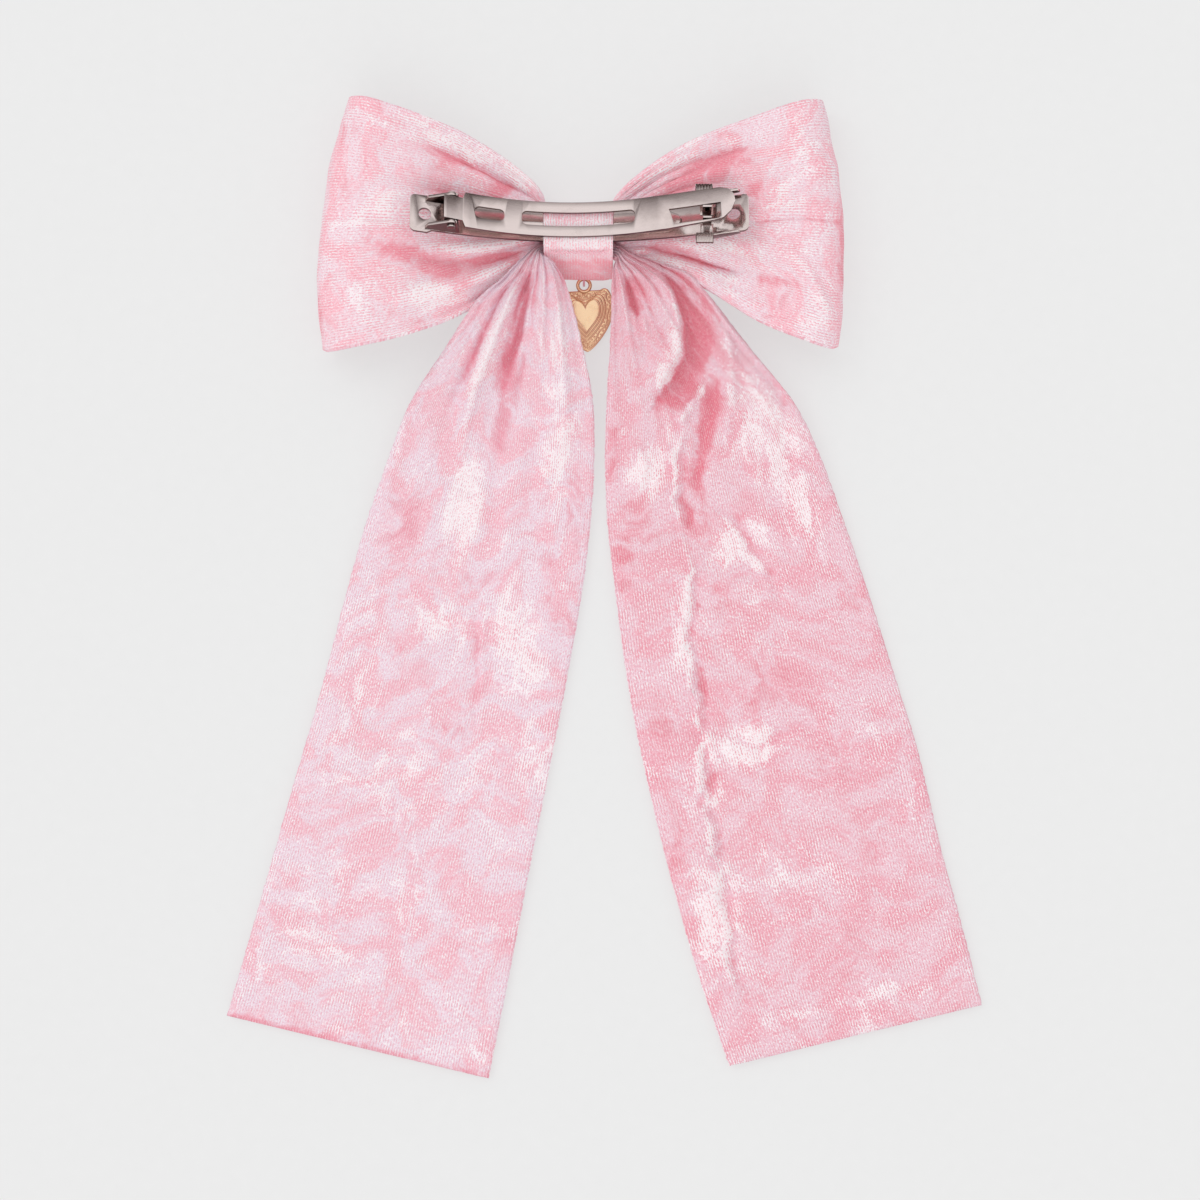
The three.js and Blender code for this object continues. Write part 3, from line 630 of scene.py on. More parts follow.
# ---------------------------------------------------------------------------------------- the loop band
@dataclass
class LoopBand:
    """Both loops: one ring of doubled velvet pinched at the waist."""

    creases: tuple[Crease, ...]
    coral_and_shade_patches: tuple[Blot, ...]
    painted_gleams: tuple[Blot, ...]
    velvet: CrushedVelvet
    node: str = "loop_band"
    ply: float = 1.5
    cut_width: float = 59.0
    columns: int = 104
    rows: int = 440

    # Upper edge x, y, lower edge x, y, height at the upper and at the lower edge, and outward bulge.
    right: tuple[tuple[float, ...], ...] = (
        (0.0, 3.0, 0.0, -3.0, 5.6, 5.6, 0.0),
        (8.0, 3.2, 8.0, -3.2, 5.8, 5.8, 0.0),
        (9.2, 10.4, 11.6, -4.8, 9.6, 9.0, 0.0),
        (17.6, 18.0, 19.6, -6.2, 9.0, 8.6, 0.0),
        (27.9, 24.2, 29.6, -10.0, 11.0, 10.6, 0.3),
        (41.0, 29.0, 43.0, -18.8, 14.6, 13.6, 1.0),
        (51.5, 32.6, 55.0, -23.8, 15.6, 14.6, 2.0),
        (56.6, 33.8, 60.4, -25.2, 12.6, 11.8, 2.6),
        (58.4, 34.0, 62.2, -24.6, 7.0, 6.8, 3.0),
        (57.4, 33.4, 61.2, -23.2, 2.4, 2.4, 2.8),
        (50.0, 31.4, 53.6, -20.4, 1.15, 1.15, 1.6),
        (34.0, 26.0, 35.6, -11.0, 1.15, 1.15, 0.4),
        (18.0, 16.6, 18.6, -5.0, 1.3, 1.3, 0.0),
        (10.2, 8.8, 11.0, -4.4, 2.4, 2.4, 0.0),
        (8.0, 3.0, 8.0, -3.0, 3.9, 3.9, 0.0),
    )
    left: tuple[tuple[float, ...], ...] = (
        (0.0, 3.0, 0.0, -3.0, 3.9, 3.9, 0.0),
        (-8.0, 3.0, -8.0, -3.0, 3.9, 3.9, 0.0),
        (-10.0, 8.8, -11.0, -4.8, 2.4, 2.4, 0.0),
        (-18.0, 17.4, -18.6, -8.6, 1.3, 1.3, 0.0),
        (-34.0, 27.4, -35.0, -17.0, 1.15, 1.15, 0.4),
        (-48.0, 32.6, -51.6, -21.8, 1.15, 1.15, 1.6),
        (-53.6, 34.2, -60.0, -24.2, 2.4, 2.4, 3.0),
        (-54.8, 34.8, -61.2, -25.4, 7.0, 6.8, 3.4),
        (-53.2, 34.6, -59.6, -26.0, 12.6, 11.8, 3.0),
        (-48.6, 33.4, -54.0, -25.2, 15.6, 14.8, 2.2),
        (-39.0, 30.2, -41.4, -22.2, 14.6, 13.8, 1.0),
        (-27.6, 25.6, -28.4, -17.2, 11.4, 10.4, 0.3),
        (-15.6, 18.0, -18.0, -10.4, 9.0, 8.4, 0.0),
        (-9.2, 11.4, -11.0, -5.2, 9.4, 8.6, 0.0),
        (-8.0, 3.2, -8.0, -3.2, 5.8, 5.8, 0.0),
    )

    def build(self) -> bpy.types.Object:
        """Draft the ring, fold it, thicken it to two plies and round its open edges."""
        control = np.array(self.right + self.left)
        t = np.linspace(0, 1, self.rows, endpoint=False)
        line = spline(control, t, closed=True)
        b = np.linspace(0, 1, self.columns)
        x = line[:, 0, None] * (1 - b) + line[:, 2, None] * b
        y = line[:, 1, None] * (1 - b) + line[:, 3, None] * b
        z = line[:, 4, None] * (1 - b) + line[:, 5, None] * b
        x = x + np.sign(line[:, 0, None]) * line[:, 6, None] * (1 - (2 * b - 1) ** 2)
        plump = np.clip((z - 3) / 8, 0, 1) * (1 - (2 * b - 1) ** 4) * 1.1
        centre = np.stack([x, y, z + plump], -1)
        mid_line = centre[:, self.columns // 2]
        steps = np.linalg.norm(np.diff(mid_line, axis=0, append=mid_line[:1]), axis=1)
        run = np.concatenate([[0], np.cumsum(steps)[:-1]])
        normal = self.normals(centre)
        rise, coral = self.folds(x, y, z, b)
        # Hollows get painted shade and ridges a painted highlight.
        hollow, ridge = painted_fold_light(rise)
        centre = centre + normal * rise[..., None]
        normal = self.normals(centre)
        half = self.ply / 2
        shell = [centre + normal * half, centre - normal * half]
        lip = 0.55 * half
        side = centre[:, :1] - centre[:, 1:2]
        side = side / np.linalg.norm(side, axis=-1, keepdims=True)
        far = centre[:, -1:] - centre[:, -2:-1]
        far = far / np.linalg.norm(far, axis=-1, keepdims=True)
        grid = np.concatenate([shell[0], centre[:, -1:] + far * lip, shell[1][:, ::-1],
                               centre[:, :1] + side * lip], 1)
        grid[..., 2] = np.maximum(grid[..., 2], 0.32)
        flat = np.zeros_like(x)
        place = np.stack([b[None, :] * self.cut_width + flat, run[:, None] + flat], -1)
        uv = np.concatenate([place, place[:, -1:], place[:, ::-1] + (90, 0), place[:, :1]], 1)
        back = np.clip((z - 4) / 3, 0, 1)
        # Coral mark: painted shade from pleats, creases and hollows, and listed crushed-pile and
        # painted-shade patches on the back leaves; painted highlights likewise.
        coral = np.clip(coral + hollow * 0.8 + total(self.coral_and_shade_patches, x, y) * back, 0, 1)
        painted_gleam = np.clip(total(self.painted_gleams, x, y) * back + ridge * 0.8 - coral * 0.5, 0, 1)

        def all_round(values: np.ndarray) -> np.ndarray:
            """A mark on the outer ply, repeated weakly on the inner one and over the edges."""
            return np.concatenate([values, values[:, -1:], values[:, ::-1] * 0.4 + 0.2, values[:, :1]], 1)

        marks = {Mark.CORAL: all_round(coral), Mark.GLEAM: all_round(painted_gleam)}
        piece = cloth_object("loop_band_velvet", grid * MM, uv, marks, self.velvet.build())
        join_ends(piece, self.rows)
        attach(piece, "bow")
        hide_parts(self.node)
        LOG.info("loop band: %.0f mm round, %d faces", steps.sum(), len(piece.data.polygons))
        return piece

    @staticmethod
    def normals(centre: np.ndarray) -> np.ndarray:
        """Unit normals of a grid that closes along its rows, pointing out of the loops."""
        along = np.roll(centre, -1, 0) - np.roll(centre, 1, 0)
        over = np.gradient(centre, axis=1)
        found = np.cross(over, along)
        return found / np.maximum(np.linalg.norm(found, axis=-1, keepdims=True), 1e-9)

    def folds(self, x: np.ndarray, y: np.ndarray, z: np.ndarray,
              b: np.ndarray) -> tuple[np.ndarray, np.ndarray]:
        """Pleats that fan from the knot, soft waves, and the laid creases on the back leaves, with painted
        coral shade in their valleys.
        """
        out = np.abs(x)
        fan = np.clip((out - 8) / 6, 0, 1) * np.exp(-((out / 30) ** 2)) * 1.5
        phase = b[None, :] * 2 * math.pi * 5 + 1.2 * ripple(x, y, 24, 2.0)
        pleat = np.sin(phase) + 0.4 * np.sin(2.2 * phase + 1.0)
        rise = fan * pleat * 0.75
        open_cloth = np.clip((out - 12) / 20, 0, 1)
        rise = rise + open_cloth * (0.55 * ripple(x, y, 19, 4.0) + 0.3 * ripple(x, y, 7, 6.0))
        # Painted shade in the pleats' valleys.
        coral = np.clip(-fan * pleat * 0.4, 0, 0.5)
        back = np.clip((z - 4) / 3, 0, 1)
        for crease in self.creases:
            height, strength = crease.field(x, y)
            rise = rise + height * back
            coral = coral + strength * crease.coral * back
        return rise, coral


# ---------------------------------------------------------------------------------------- the knot
@dataclass
class CentreKnot:
    """The band of velvet round the waist and the clip, with its lapped seam and small stitches."""

    velvet: CrushedVelvet
    width: float = 16.6
    wall: float = 1.1
    rows: int = 150
    columns: int = 44
    section: tuple[Point, ...] = (
        (-3.6, 0.0), (0.0, 0.0), (4.2, 0.0), (6.4, 1.0), (7.8, 3.2), (8.6, 6.5), (9.0, 10.0),
        (8.8, 12.0), (8.7, 14.1), (6.2, 15.4), (2.4, 16.6), (0.1, 17.1), (-1.8, 15.9),
        (-3.8, 13.9), (-5.9, 11.2), (-7.7, 8.2), (-8.7, 6.2), (-8.4, 4.5), (-7.2, 3.4),
        (-5.8, 2.2), (-5.0, 1.0),
    )

    def build(self) -> bpy.types.Object:
        """Draft the band as a closed ring with rounded hems and faint gathers."""
        t = np.linspace(0, 1, self.rows, endpoint=False)
        ring = spline(np.array(self.section), t, closed=True)
        ring[:, 1] = np.maximum(ring[:, 1], 0.12)
        tangent = np.roll(ring, -1, 0) - np.roll(ring, 1, 0)
        tangent = tangent / np.linalg.norm(tangent, axis=1, keepdims=True)
        outward = np.stack([tangent[:, 1], -tangent[:, 0]], -1)
        run = np.concatenate([[0], np.cumsum(np.linalg.norm(np.diff(ring, axis=0), axis=1))])
        c = np.linspace(0, 2 * math.pi, self.columns * 2, endpoint=False)
        shape_x = np.sign(np.cos(c)) * np.abs(np.cos(c)) ** 0.16
        shape_d = np.sign(np.sin(c)) * np.abs(np.sin(c)) ** 0.5
        x = shape_x[None, :] * self.width / 2 + np.zeros((self.rows, 1))
        gathers = 0.16 * np.sin(x * 1.5 + ripple(x, run[:, None] + x * 0, 9, 3.0) * 2.2)
        gathers = gathers + 0.12 * ripple(x, run[:, None] + x * 0, 3.0, 5.0)
        side = np.clip(shape_d, 0, 1)[None, :]
        inset = (shape_d[None, :] - 1) * self.wall / 2 + gathers * side - 0.16 * side
        y = ring[:, 0, None] + outward[:, 0, None] * inset
        z = np.maximum(ring[:, 1, None] + outward[:, 1, None] * inset, 0.02)
        points = np.stack([x, y, z], -1) * MM
        uv = np.stack([x + 200, run[:, None] * np.ones_like(x) + 60], -1)
        # Painted shade on the band's lower face, a coral line along the seam's lap, and a painted highlight
        # on its top.
        shaded = np.clip((-3.4 - y) / 1.6, 0, 1) * np.clip((15.2 - z) / 2, 0, 1) * 0.9
        lapped = np.exp(-((y + 3.2) / 0.5) ** 2) * (z > 12) * 0.35
        bright = np.clip((z - 14.6) / 1.4, 0, 1) * 0.95
        marks = {Mark.CORAL: np.clip(shaded + lapped, 0, 1), Mark.GLEAM: bright}
        piece = cloth_object("centre_knot_velvet", points, uv, marks, self.velvet.build())
        join_ends(piece, self.rows)
        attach(piece, "bow")
        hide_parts("centre_knot")
        LOG.info("centre knot: %.1f mm wide, %.0f mm round", self.width, run[-1])
        return piece


# ---------------------------------------------------------------------------------------- metal pieces
def refined(node: str, name: str, edge: float, material: bpy.types.Material,
            body: str, levels: int = 2) -> bpy.types.Object:
    """Copy a CAD node as a finished piece: flats dissolved, every arris rounded, curved faces smooth.

    Args:
        node: the CAD node that it stands for.
        name: the new object's name.
        edge: radius of its rounded edges, in metres.
        material: its finish.
        body: the body that it rides on.
        levels: segments of the rounded edges.

    Returns:
        The new object.
    """
    source = next(o for o in bpy.data.objects if o.get("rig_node", o.name) == node or o.name == node)
    piece = bpy.data.objects.new(name, source.data.copy())
    bpy.context.scene.collection.objects.link(piece)
    form = bmesh.new()
    form.from_mesh(piece.data)
    bmesh.ops.remove_doubles(form, verts=form.verts, dist=0.000002)
    bmesh.ops.dissolve_limit(form, angle_limit=math.radians(0.25), verts=form.verts, edges=form.edges)
    form.to_mesh(piece.data)
    form.free()
    piece.data.materials.clear()
    piece.data.materials.append(material)
    bpy.ops.object.select_all(action="DESELECT")
    piece.select_set(True)
    bpy.context.view_layer.objects.active = piece
    bevel = piece.modifiers.new("rounded edges", "BEVEL")
    bevel.width = edge
    bevel.segments = levels
    bevel.limit_method = "ANGLE"
    bevel.angle_limit = math.radians(35)
    bevel.use_clamp_overlap = True
    bpy.ops.object.modifier_apply(modifier=bevel.name)
    bpy.ops.object.shade_smooth_by_angle(angle=math.radians(32))
    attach(piece, body)
    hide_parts(node)
    LOG.info("%s: %d faces", name, len(piece.data.polygons))
    return piece


@dataclass
class FrenchClip:
    """The nickel-plated clip: base plate, tension bar, arm, hinge pin and two release wings."""

    # 4A2E2B is painted as a dark reflection on the clip's steep faces.
    plating: PlatedMetal = field(default_factory=lambda: PlatedMetal(
        "nickel_plate", "E8DAD7", "CFBFBB", "4A2E2B", 0.88, (0.0, 0.309, 0.951)))

    def build(self) -> None:
        """Finish each stamping."""
        plate = self.plating.build()
        for node, body, edge in (
            ("base_plate", "bow", 0.00016), ("tension_bar", "bow", 0.00012), ("clip_arm", "arm", 0.00018),
            ("hinge_pin", "bow", 0.00010), ("upper_release_wing", "upper_wing", 0.00008),
            ("lower_release_wing", "lower_wing", 0.00008),
        ):
            refined(node, node + "_plated", edge, plate, body)


@dataclass
class HeartCharm:
    """The cast heart: a broad rim, a border of vines and beads, three fine ridges and a smooth middle."""

    # B0622F is painted as a dark reflection on the charm's steep faces.
    plating: PlatedMetal = field(default_factory=lambda: PlatedMetal(
        "pale_gold_plate", "FFDDB6", "F8CD9F", "B0622F", 0.52, (0.0, 0.0, 1.0), 0.20,
        (1500.0, 1500.0, 1500.0), 0.02, 0.16, 0.04))
    place: tuple[float, float] = (1.3, -9.5)
    turn: float = 3.2
    width: float = 13.6
    height: float = 15.2
    notch: float = 0.35
    top: float = -0.95
    low: float = 0.4
    field_z: float = 1.3
    raised: float = 1.8
    middle_inset: float = 2.85
    middle_z: float = 1.33
    around: int = 640
    across: int = 100
    eyelet_middle: float = 1.52
    eyelet_wire: float = 0.42
    eyelet_z: float = 1.5

    def build(self) -> None:
        """Cast the heart and its eyelet in gold plate."""
        gold = self.plating.build()
        heart = self.heart(gold)
        eyelet = self.eyelet(gold)
        for piece in (heart, eyelet):
            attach(piece, "charm")
        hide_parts("heart_charm")
        LOG.info("heart charm: %d faces", len(heart.data.polygons))

    def outline(self, t: np.ndarray, shrink: float, notch: float, lean: float) -> np.ndarray:
        """A heart line, drawn in by a margin.

        Args:
            t: places round the heart, in radians from its top.
            shrink: the margin, in millimetres.
            notch: how deep the dip between the lobes goes.
            lean: how straight the sides run to the tip, from 1 for a round heart to 3 for a pointed one.

        Returns:
            One x and y for each place.
        """
        width, height, top = self.width - 2.5 * shrink, self.height - 2.7 * shrink, self.top - shrink
        rise = 13 * np.cos(t) - 5 * np.cos(2 * t) - 2 * np.cos(3 * t) - np.cos(4 * t)
        y = top + (rise - 11.9) / 28.9 * height
        y = np.where(np.cos(t) > 0.6, np.maximum(y, top - notch), y)
        return np.stack([np.sign(np.sin(t)) * np.abs(np.sin(t)) ** lean * width / 2, y], -1)

    def profile(self, r: np.ndarray, t: np.ndarray) -> np.ndarray:
        """Height of the face: r runs from 0 at the outer edge to 1 at the smooth middle's edge."""
        def band(low: float, high: float, soft: float = 0.025) -> np.ndarray:
            """1 between two places across the border, with soft shoulders."""
            return np.clip((r - low) / soft, 0, 1) * np.clip((high - r) / soft, 0, 1)

        rim = band(0.0, 0.13, 0.06) * 0.10
        wave = 0.29 + 0.065 * np.sin(13 * t + 3 * np.sin(t))
        vine = np.exp(-((r - wave) / 0.036) ** 2) * 0.10
        curl = np.exp(-((r - 0.29 - 0.09 * np.cos(26 * t)) / 0.036) ** 2)
        curl = curl * np.clip(np.sin(39 * t), 0, 1) * 0.10
        bead = np.exp(-(((r - 0.185) / 0.034) ** 2)) * np.clip(np.sin(58 * t), 0, 1) ** 0.5 * 0.10
        leaf = np.exp(-(((r - 0.40) / 0.036) ** 2)) * np.clip(np.sin(46 * t + 1), 0, 1) ** 0.5 * 0.10
        border = np.maximum.reduce([vine, curl, bead, leaf]) * band(0.14, 0.46, 0.03)
        ridges = sum(np.exp(-((r - at) / 0.050) ** 2) for at in (0.54, 0.72, 0.90)) * 0.12
        return self.field_z + rim + border + ridges

    def heart(self, gold: bpy.types.Material) -> bpy.types.Object:
        """Raise the heart's face from its outline, and close its edge and back."""
        t = np.linspace(0, 2 * math.pi, self.around, endpoint=False)
        outer = self.outline(t, 0.0, self.notch, 1.4)
        inner = self.outline(t, self.middle_inset, 9.0, 2.3)
        centre = np.array([0.0, self.top - self.middle_inset - 3.6])
        rows, heights = [], []
        for level in (self.low, self.low + 0.25):
            rows.append(outer * (0.985 if level == self.low else 1.0))
            heights.append(np.full_like(t, level))
        for r in np.linspace(0, 1, self.across):
            rows.append(outer * (1 - r) + inner * r)
            heights.append(self.profile(np.full_like(t, r), t))
        for r, rise in ((1.02, 0.6), (1.05, 1.0), (1.3, 1.0), (1.6, 1.0), (1.9, 1.0), (2.0, 1.0)):
            rows.append(inner + (centre - inner) * (r - 1))
            heights.append(np.full_like(t, self.field_z + (self.middle_z - self.field_z) * rise))
        plan = np.stack(rows)
        height = np.stack(heights)
        height[2] = self.field_z
        points = np.concatenate([self.set_in_place(plan), height[..., None]], -1) * MM
        hub = self.set_in_place(np.broadcast_to(centre, outer.shape))
        under = np.concatenate([hub, np.full((self.around, 1), self.low)], -1)[None] * MM
        grid = np.concatenate([under, points])
        uv = np.zeros((*grid.shape[:2], 2))
        piece = cloth_object("heart_charm_plated", grid, uv, {}, gold)
        tidy(piece, 0.0000005)
        return piece

    def set_in_place(self, plan: np.ndarray) -> np.ndarray:
        """Turn the charm's own plan a little and hang it at its place."""
        c, s = math.cos(math.radians(self.turn)), math.sin(math.radians(self.turn))
        x, y = plan[..., 0], plan[..., 1]
        return np.stack([self.place[0] + x * c - y * s, self.place[1] + x * s + y * c], -1)

    def eyelet(self, gold: bpy.types.Material) -> bpy.types.Object:
        """Bend the eyelet's wire into a ring."""
        bpy.ops.object.select_all(action="DESELECT")
        bpy.ops.mesh.primitive_torus_add(
            major_radius=self.eyelet_middle * MM, minor_radius=self.eyelet_wire * MM,
            major_segments=64, minor_segments=20,
            location=(self.place[0] * MM, self.place[1] * MM, self.eyelet_z * MM))
        piece = bpy.context.object
        piece.name = "charm_eyelet"
        bpy.ops.object.transform_apply(location=True, rotation=True, scale=True)
        bpy.ops.object.shade_smooth()
        piece.data.materials.append(gold)
        return piece


@dataclass
class Threads:
    """The charm's tie, the knot's seam stitches and the gathering thread inside."""

    finish: SewingThread = field(default_factory=lambda: SewingThread("pink_thread"))

    def build(self) -> None:
        """Finish each thread."""
        thread = self.finish.build()
        refined("charm_thread_loop", "charm_tie_thread", 0.00002, thread, "charm_tie")
        refined("gathering_thread", "gathering_thread_twist", 0.00002, thread, "bow")
        refined("knot_seam_stitches", "knot_stitching", 0.00002, thread, "bow")


# ---------------------------------------------------------------------------------------- patterns
def bow_patterns() -> tuple[LoopBand, Tail, Tail, CentreKnot]:
    """The four velvet pieces with their own folds, coral patches, painted shade and painted highlights, in
    millimetres.
    """
    loops = LoopBand(
        velvet=CrushedVelvet("velvet_loops", rose="FBC1CD", lilac="F5DBE5",
                             coral="F38C9C", depth=0.58, pale=0.07),
        creases=(
            Crease(((-61, 4.6), (-40, 4.8), (-22, 3.0)), -0.7, 1.0, 2.0, 0.10),
            Crease(((40, 4.2), (51, 5.0), (63, 4.6)), -0.9, 0.9, 1.4, 0.45, 0.2),
            Crease(((16, -1.4), (24.6, -3.3), (30.9, -5.6), (37.5, -7.8)), -4.2, 1.3, 0.9, 1.0, 0.3),
            Crease(((12, -3.4), (24, -6.8), (34, -11.8), (44, -17)), 1.3, 1.8, 1.8),
            Crease(((12, 0.8), (26, 0.2), (40, -2.6)), 1.3, 2.2, 2.4),
            Crease(((44, 9.5), (52, 14), (60, 19)), 1.0, 1.4, 3.0, 0.0, 0.3, 0.4),
            Crease(((50, -2), (56, -10), (60, -20)), 0.9, 1.2, 2.6, 0.0, 0.3, 0.4),
            Crease(((-12, -3.0), (-24, -5.0), (-40, -4.0)), -1.6, 1.8, 2.4, 0.35),
            Crease(((-12, -4.6), (-26, -9.0), (-44, -15.0)), 1.0, 2.6, 2.4),
            Crease(((-12, 9.5), (-22, 17), (-38, 24)), -1.2, 1.6, 1.8, 0.25),
            Crease(((-11, 5.0), (-24, 10.5), (-38, 13)), -1.1, 1.8, 2.2, 0.3),
            Crease(((12, 8.5), (24, 15.5), (40, 22)), -1.3, 1.6, 2.0, 0.35),
            Crease(((12, 5.0), (26, 9.5), (40, 12)), -1.1, 2.0, 2.4, 0.25),
        ),
        coral_and_shade_patches=(
            Blot(-38, -4.9, 13, 3.6, -20, 1.0), Blot(-20, -3.6, 7, 1.8, 4, 0.9),
            Blot(-18.8, 12.6, 3.6, 2.6, 30, 0.9),
            Blot(-32.4, 17.6, 7.5, 4.2, -10, 0.55), Blot(-54, 22, 6, 9, 0, 0.45),
            Blot(-54.5, 12, 5, 6, 0, 0.5),
            Blot(-60, -18, 3.5, 9, 0, 0.5), Blot(-39, -19, 10, 2.2, -15, 0.5),
            Blot(-45, 30, 8, 2.6, -22, 0.4),
            Blot(32.2, 17.0, 11, 3.6, 22, 0.95), Blot(46.5, -9.6, 8.5, 1.9, -8, 0.6),
            Blot(48.2, -14.6, 3.4, 4, 0, 0.5),
            Blot(42, 11, 3.0, 3.0, 0, 0.8), Blot(15, 14, 5, 2.5, 40, 0.5), Blot(30, -5.4, 6, 1.2, -20, 1.0),
            Blot(62.6, 3, 1.6, 24, 0, 0.75), Blot(57, 12, 5, 7, 10, 0.4), Blot(24, 5, 5, 3, 0, 0.4),
            Blot(40, 27, 8, 2.0, 18, 0.35),
        ),
        painted_gleams=(
            Blot(-33, 24, 13, 4, -26, 0.9), Blot(-47, 10, 7, 4, 10, 0.6), Blot(-48, 4.2, 13, 1.6, 0, 0.8),
            Blot(-14, 17, 7, 3, -45, 0.7), Blot(-36, -12, 10, 2.6, -10, 0.6), Blot(-52, -12, 6, 5, 0, 0.5),
            Blot(-25, -1.0, 12, 1.6, 4, 0.6), Blot(50, 24, 8, 6, 0, 0.6), Blot(51, 4.5, 12, 1.4, 0, 0.6),
            Blot(50, -3, 9, 3, 0, 0.6), Blot(21, 15, 8, 2.4, 35, 0.6), Blot(30, -1, 9, 1.6, -8, 0.6),
            Blot(56, -18, 5, 5, 0, 0.4), Blot(28, 25, 8, 2, 24, 0.6),
        ),
    )
    left_tail = Tail(
        node="left_tail",
        velvet=CrushedVelvet("velvet_left_tail", rose="F5C0CD", lilac="F0DAE6",
                             coral="ED8FA1", depth=0.48, pale=0.07),
        stations=(
            (-2.5, 0.0, -2.5, -4.6, 8.15, 8.15), (-8.8, -0.2, -8.5, -3.6, 10.2, 12.4),
            (-13.4, -3.7, -6.4, -4.6, 12.2, 15.2), (-18.5, -8.8, -3.6, -8.8, 12.0, 14.6),
            (-24.5, -14.2, -1.4, -15.2, 12.4, 12.8), (-32.6, -26, 0.9, -24.5, 9.6, 10.2),
            (-40.8, -38.5, 3.4, -37, 6.2, 6.6), (-46.4, -52.4, 3.9, -50, 3.7, 3.9),
            (-52.5, -70, 3.2, -64, 2.3, 2.3), (-57.4, -88, 1.2, -82, 1.9, 1.9),
            (-63.2, -110, -2.6, -104, 1.75, 1.75), (-69.2, -130.5, -7.6, -130, 1.75, 1.75),
            (-75.6, -153, -12.4, -154, 1.75, 1.75), (-80.8, -171, -16.8, -177, 1.75, 1.75),
            (-85.5, -187, -21.9, -202.3, 1.75, 1.75),
        ),
        creases=(
            Crease(((-10.8, -7.4), (-12.2, -11), (-13.4, -16.7), (-14.3, -22.5), (-16.6, -28.2), (-18.5,
                   -36)),
                   -4.2, 1.0, 2.0, 1.0, 0.2),
            Crease(((-8.2, -8), (-6.6, -13), (-5.6, -25), (-4.2, -38), (-4.6, -56)), 1.9, 3.4, 3.8, 0.0,
                   0.25),
            Crease(((-5.4, -5.2), (-3.6, -8.6), (-2.2, -12.8)), -0.9, 0.7, 0.8, 0.9, 0.3),
            Crease(((-8.0, -5.4), (-6.2, -9.0), (-4.6, -14.0)), 1.0, 1.2, 1.6, 0.0, 0.3),
            Crease(((-13.6, -7.6), (-15.8, -13), (-20.4, -22), (-25.6, -35.3), (-29, -52)), 1.9, 2.2, 2.2,
                   0.0, 0.25),
            Crease(((-15.6, -8.2), (-19.5, -15), (-24.5, -26), (-30, -40)), -1.6, 1.0, 1.5, 0.4, 0.25),
            Crease(((-17.6, -9.0), (-23.5, -16), (-31, -29), (-38, -44)), 1.1, 1.8, 1.8, 0.0, 0.25),
            Crease(((-9.6, -36), (-11, -50), (-12.4, -66)), -0.7, 1.6, 2.0, 0.2),
            Crease(((-24.2, -84), (-24.8, -100), (-24.9, -121)), -0.6, 0.8, 1.4, 0.08, 0.25, 0.6),
            Crease(((-22.8, -86), (-23.3, -100), (-23.7, -118)), 0.4, 0.8, 1.0, 0.0, 0.25, 0.6),
            Crease(((-17.5, -36), (-20, -56), (-22, -78)), -0.9, 2.0, 3.0, 0.12),
            Crease(((-70, -160), (-52, -168), (-34, -170)), -0.5, 1.5, 2.0, 0.1),
        ),
        coral_and_shade_patches=(
            Blot(-42.8, -67, 5, 18, -12, 0.55), Blot(-23.6, -81, 5, 2.8, 10, 0.6),
            Blot(-24.4, -98, 2.2, 13, 0, 0.3),
            Blot(-8, -77, 4, 7, 20, 0.5), Blot(-5, -92, 4, 12, 10, 0.5), Blot(-30, -118, 6, 3, 0, 0.4),
            Blot(-45, -100, 5, 10, 0, 0.3), Blot(-16, -172, 4, 10, 0, 0.35), Blot(-1, -64, 2.4, 14, 0, 0.45),
            Blot(-17, -38, 2.4, 14, -12, 0.6),
        ),
        painted_gleams=(
            Blot(-28, -62, 5, 15, -8, 0.9), Blot(-4.4, -54, 5, 12, 5, 0.8), Blot(-14, -98, 8, 13, 0, 0.6),
            Blot(-35.6, -92, 8, 8, 0, 0.5), Blot(-10, -124, 5, 14, 0, 0.5), Blot(-5, -30, 3, 14, 0, 0.6),
            Blot(-22, -26, 3, 11, -28, 0.5), Blot(-62, -168, 9, 8, 0, 0.4), Blot(-50, -128, 9, 8, 0, 0.4),
        ),
        hem_coral=0.95, seed=1.0,
    )
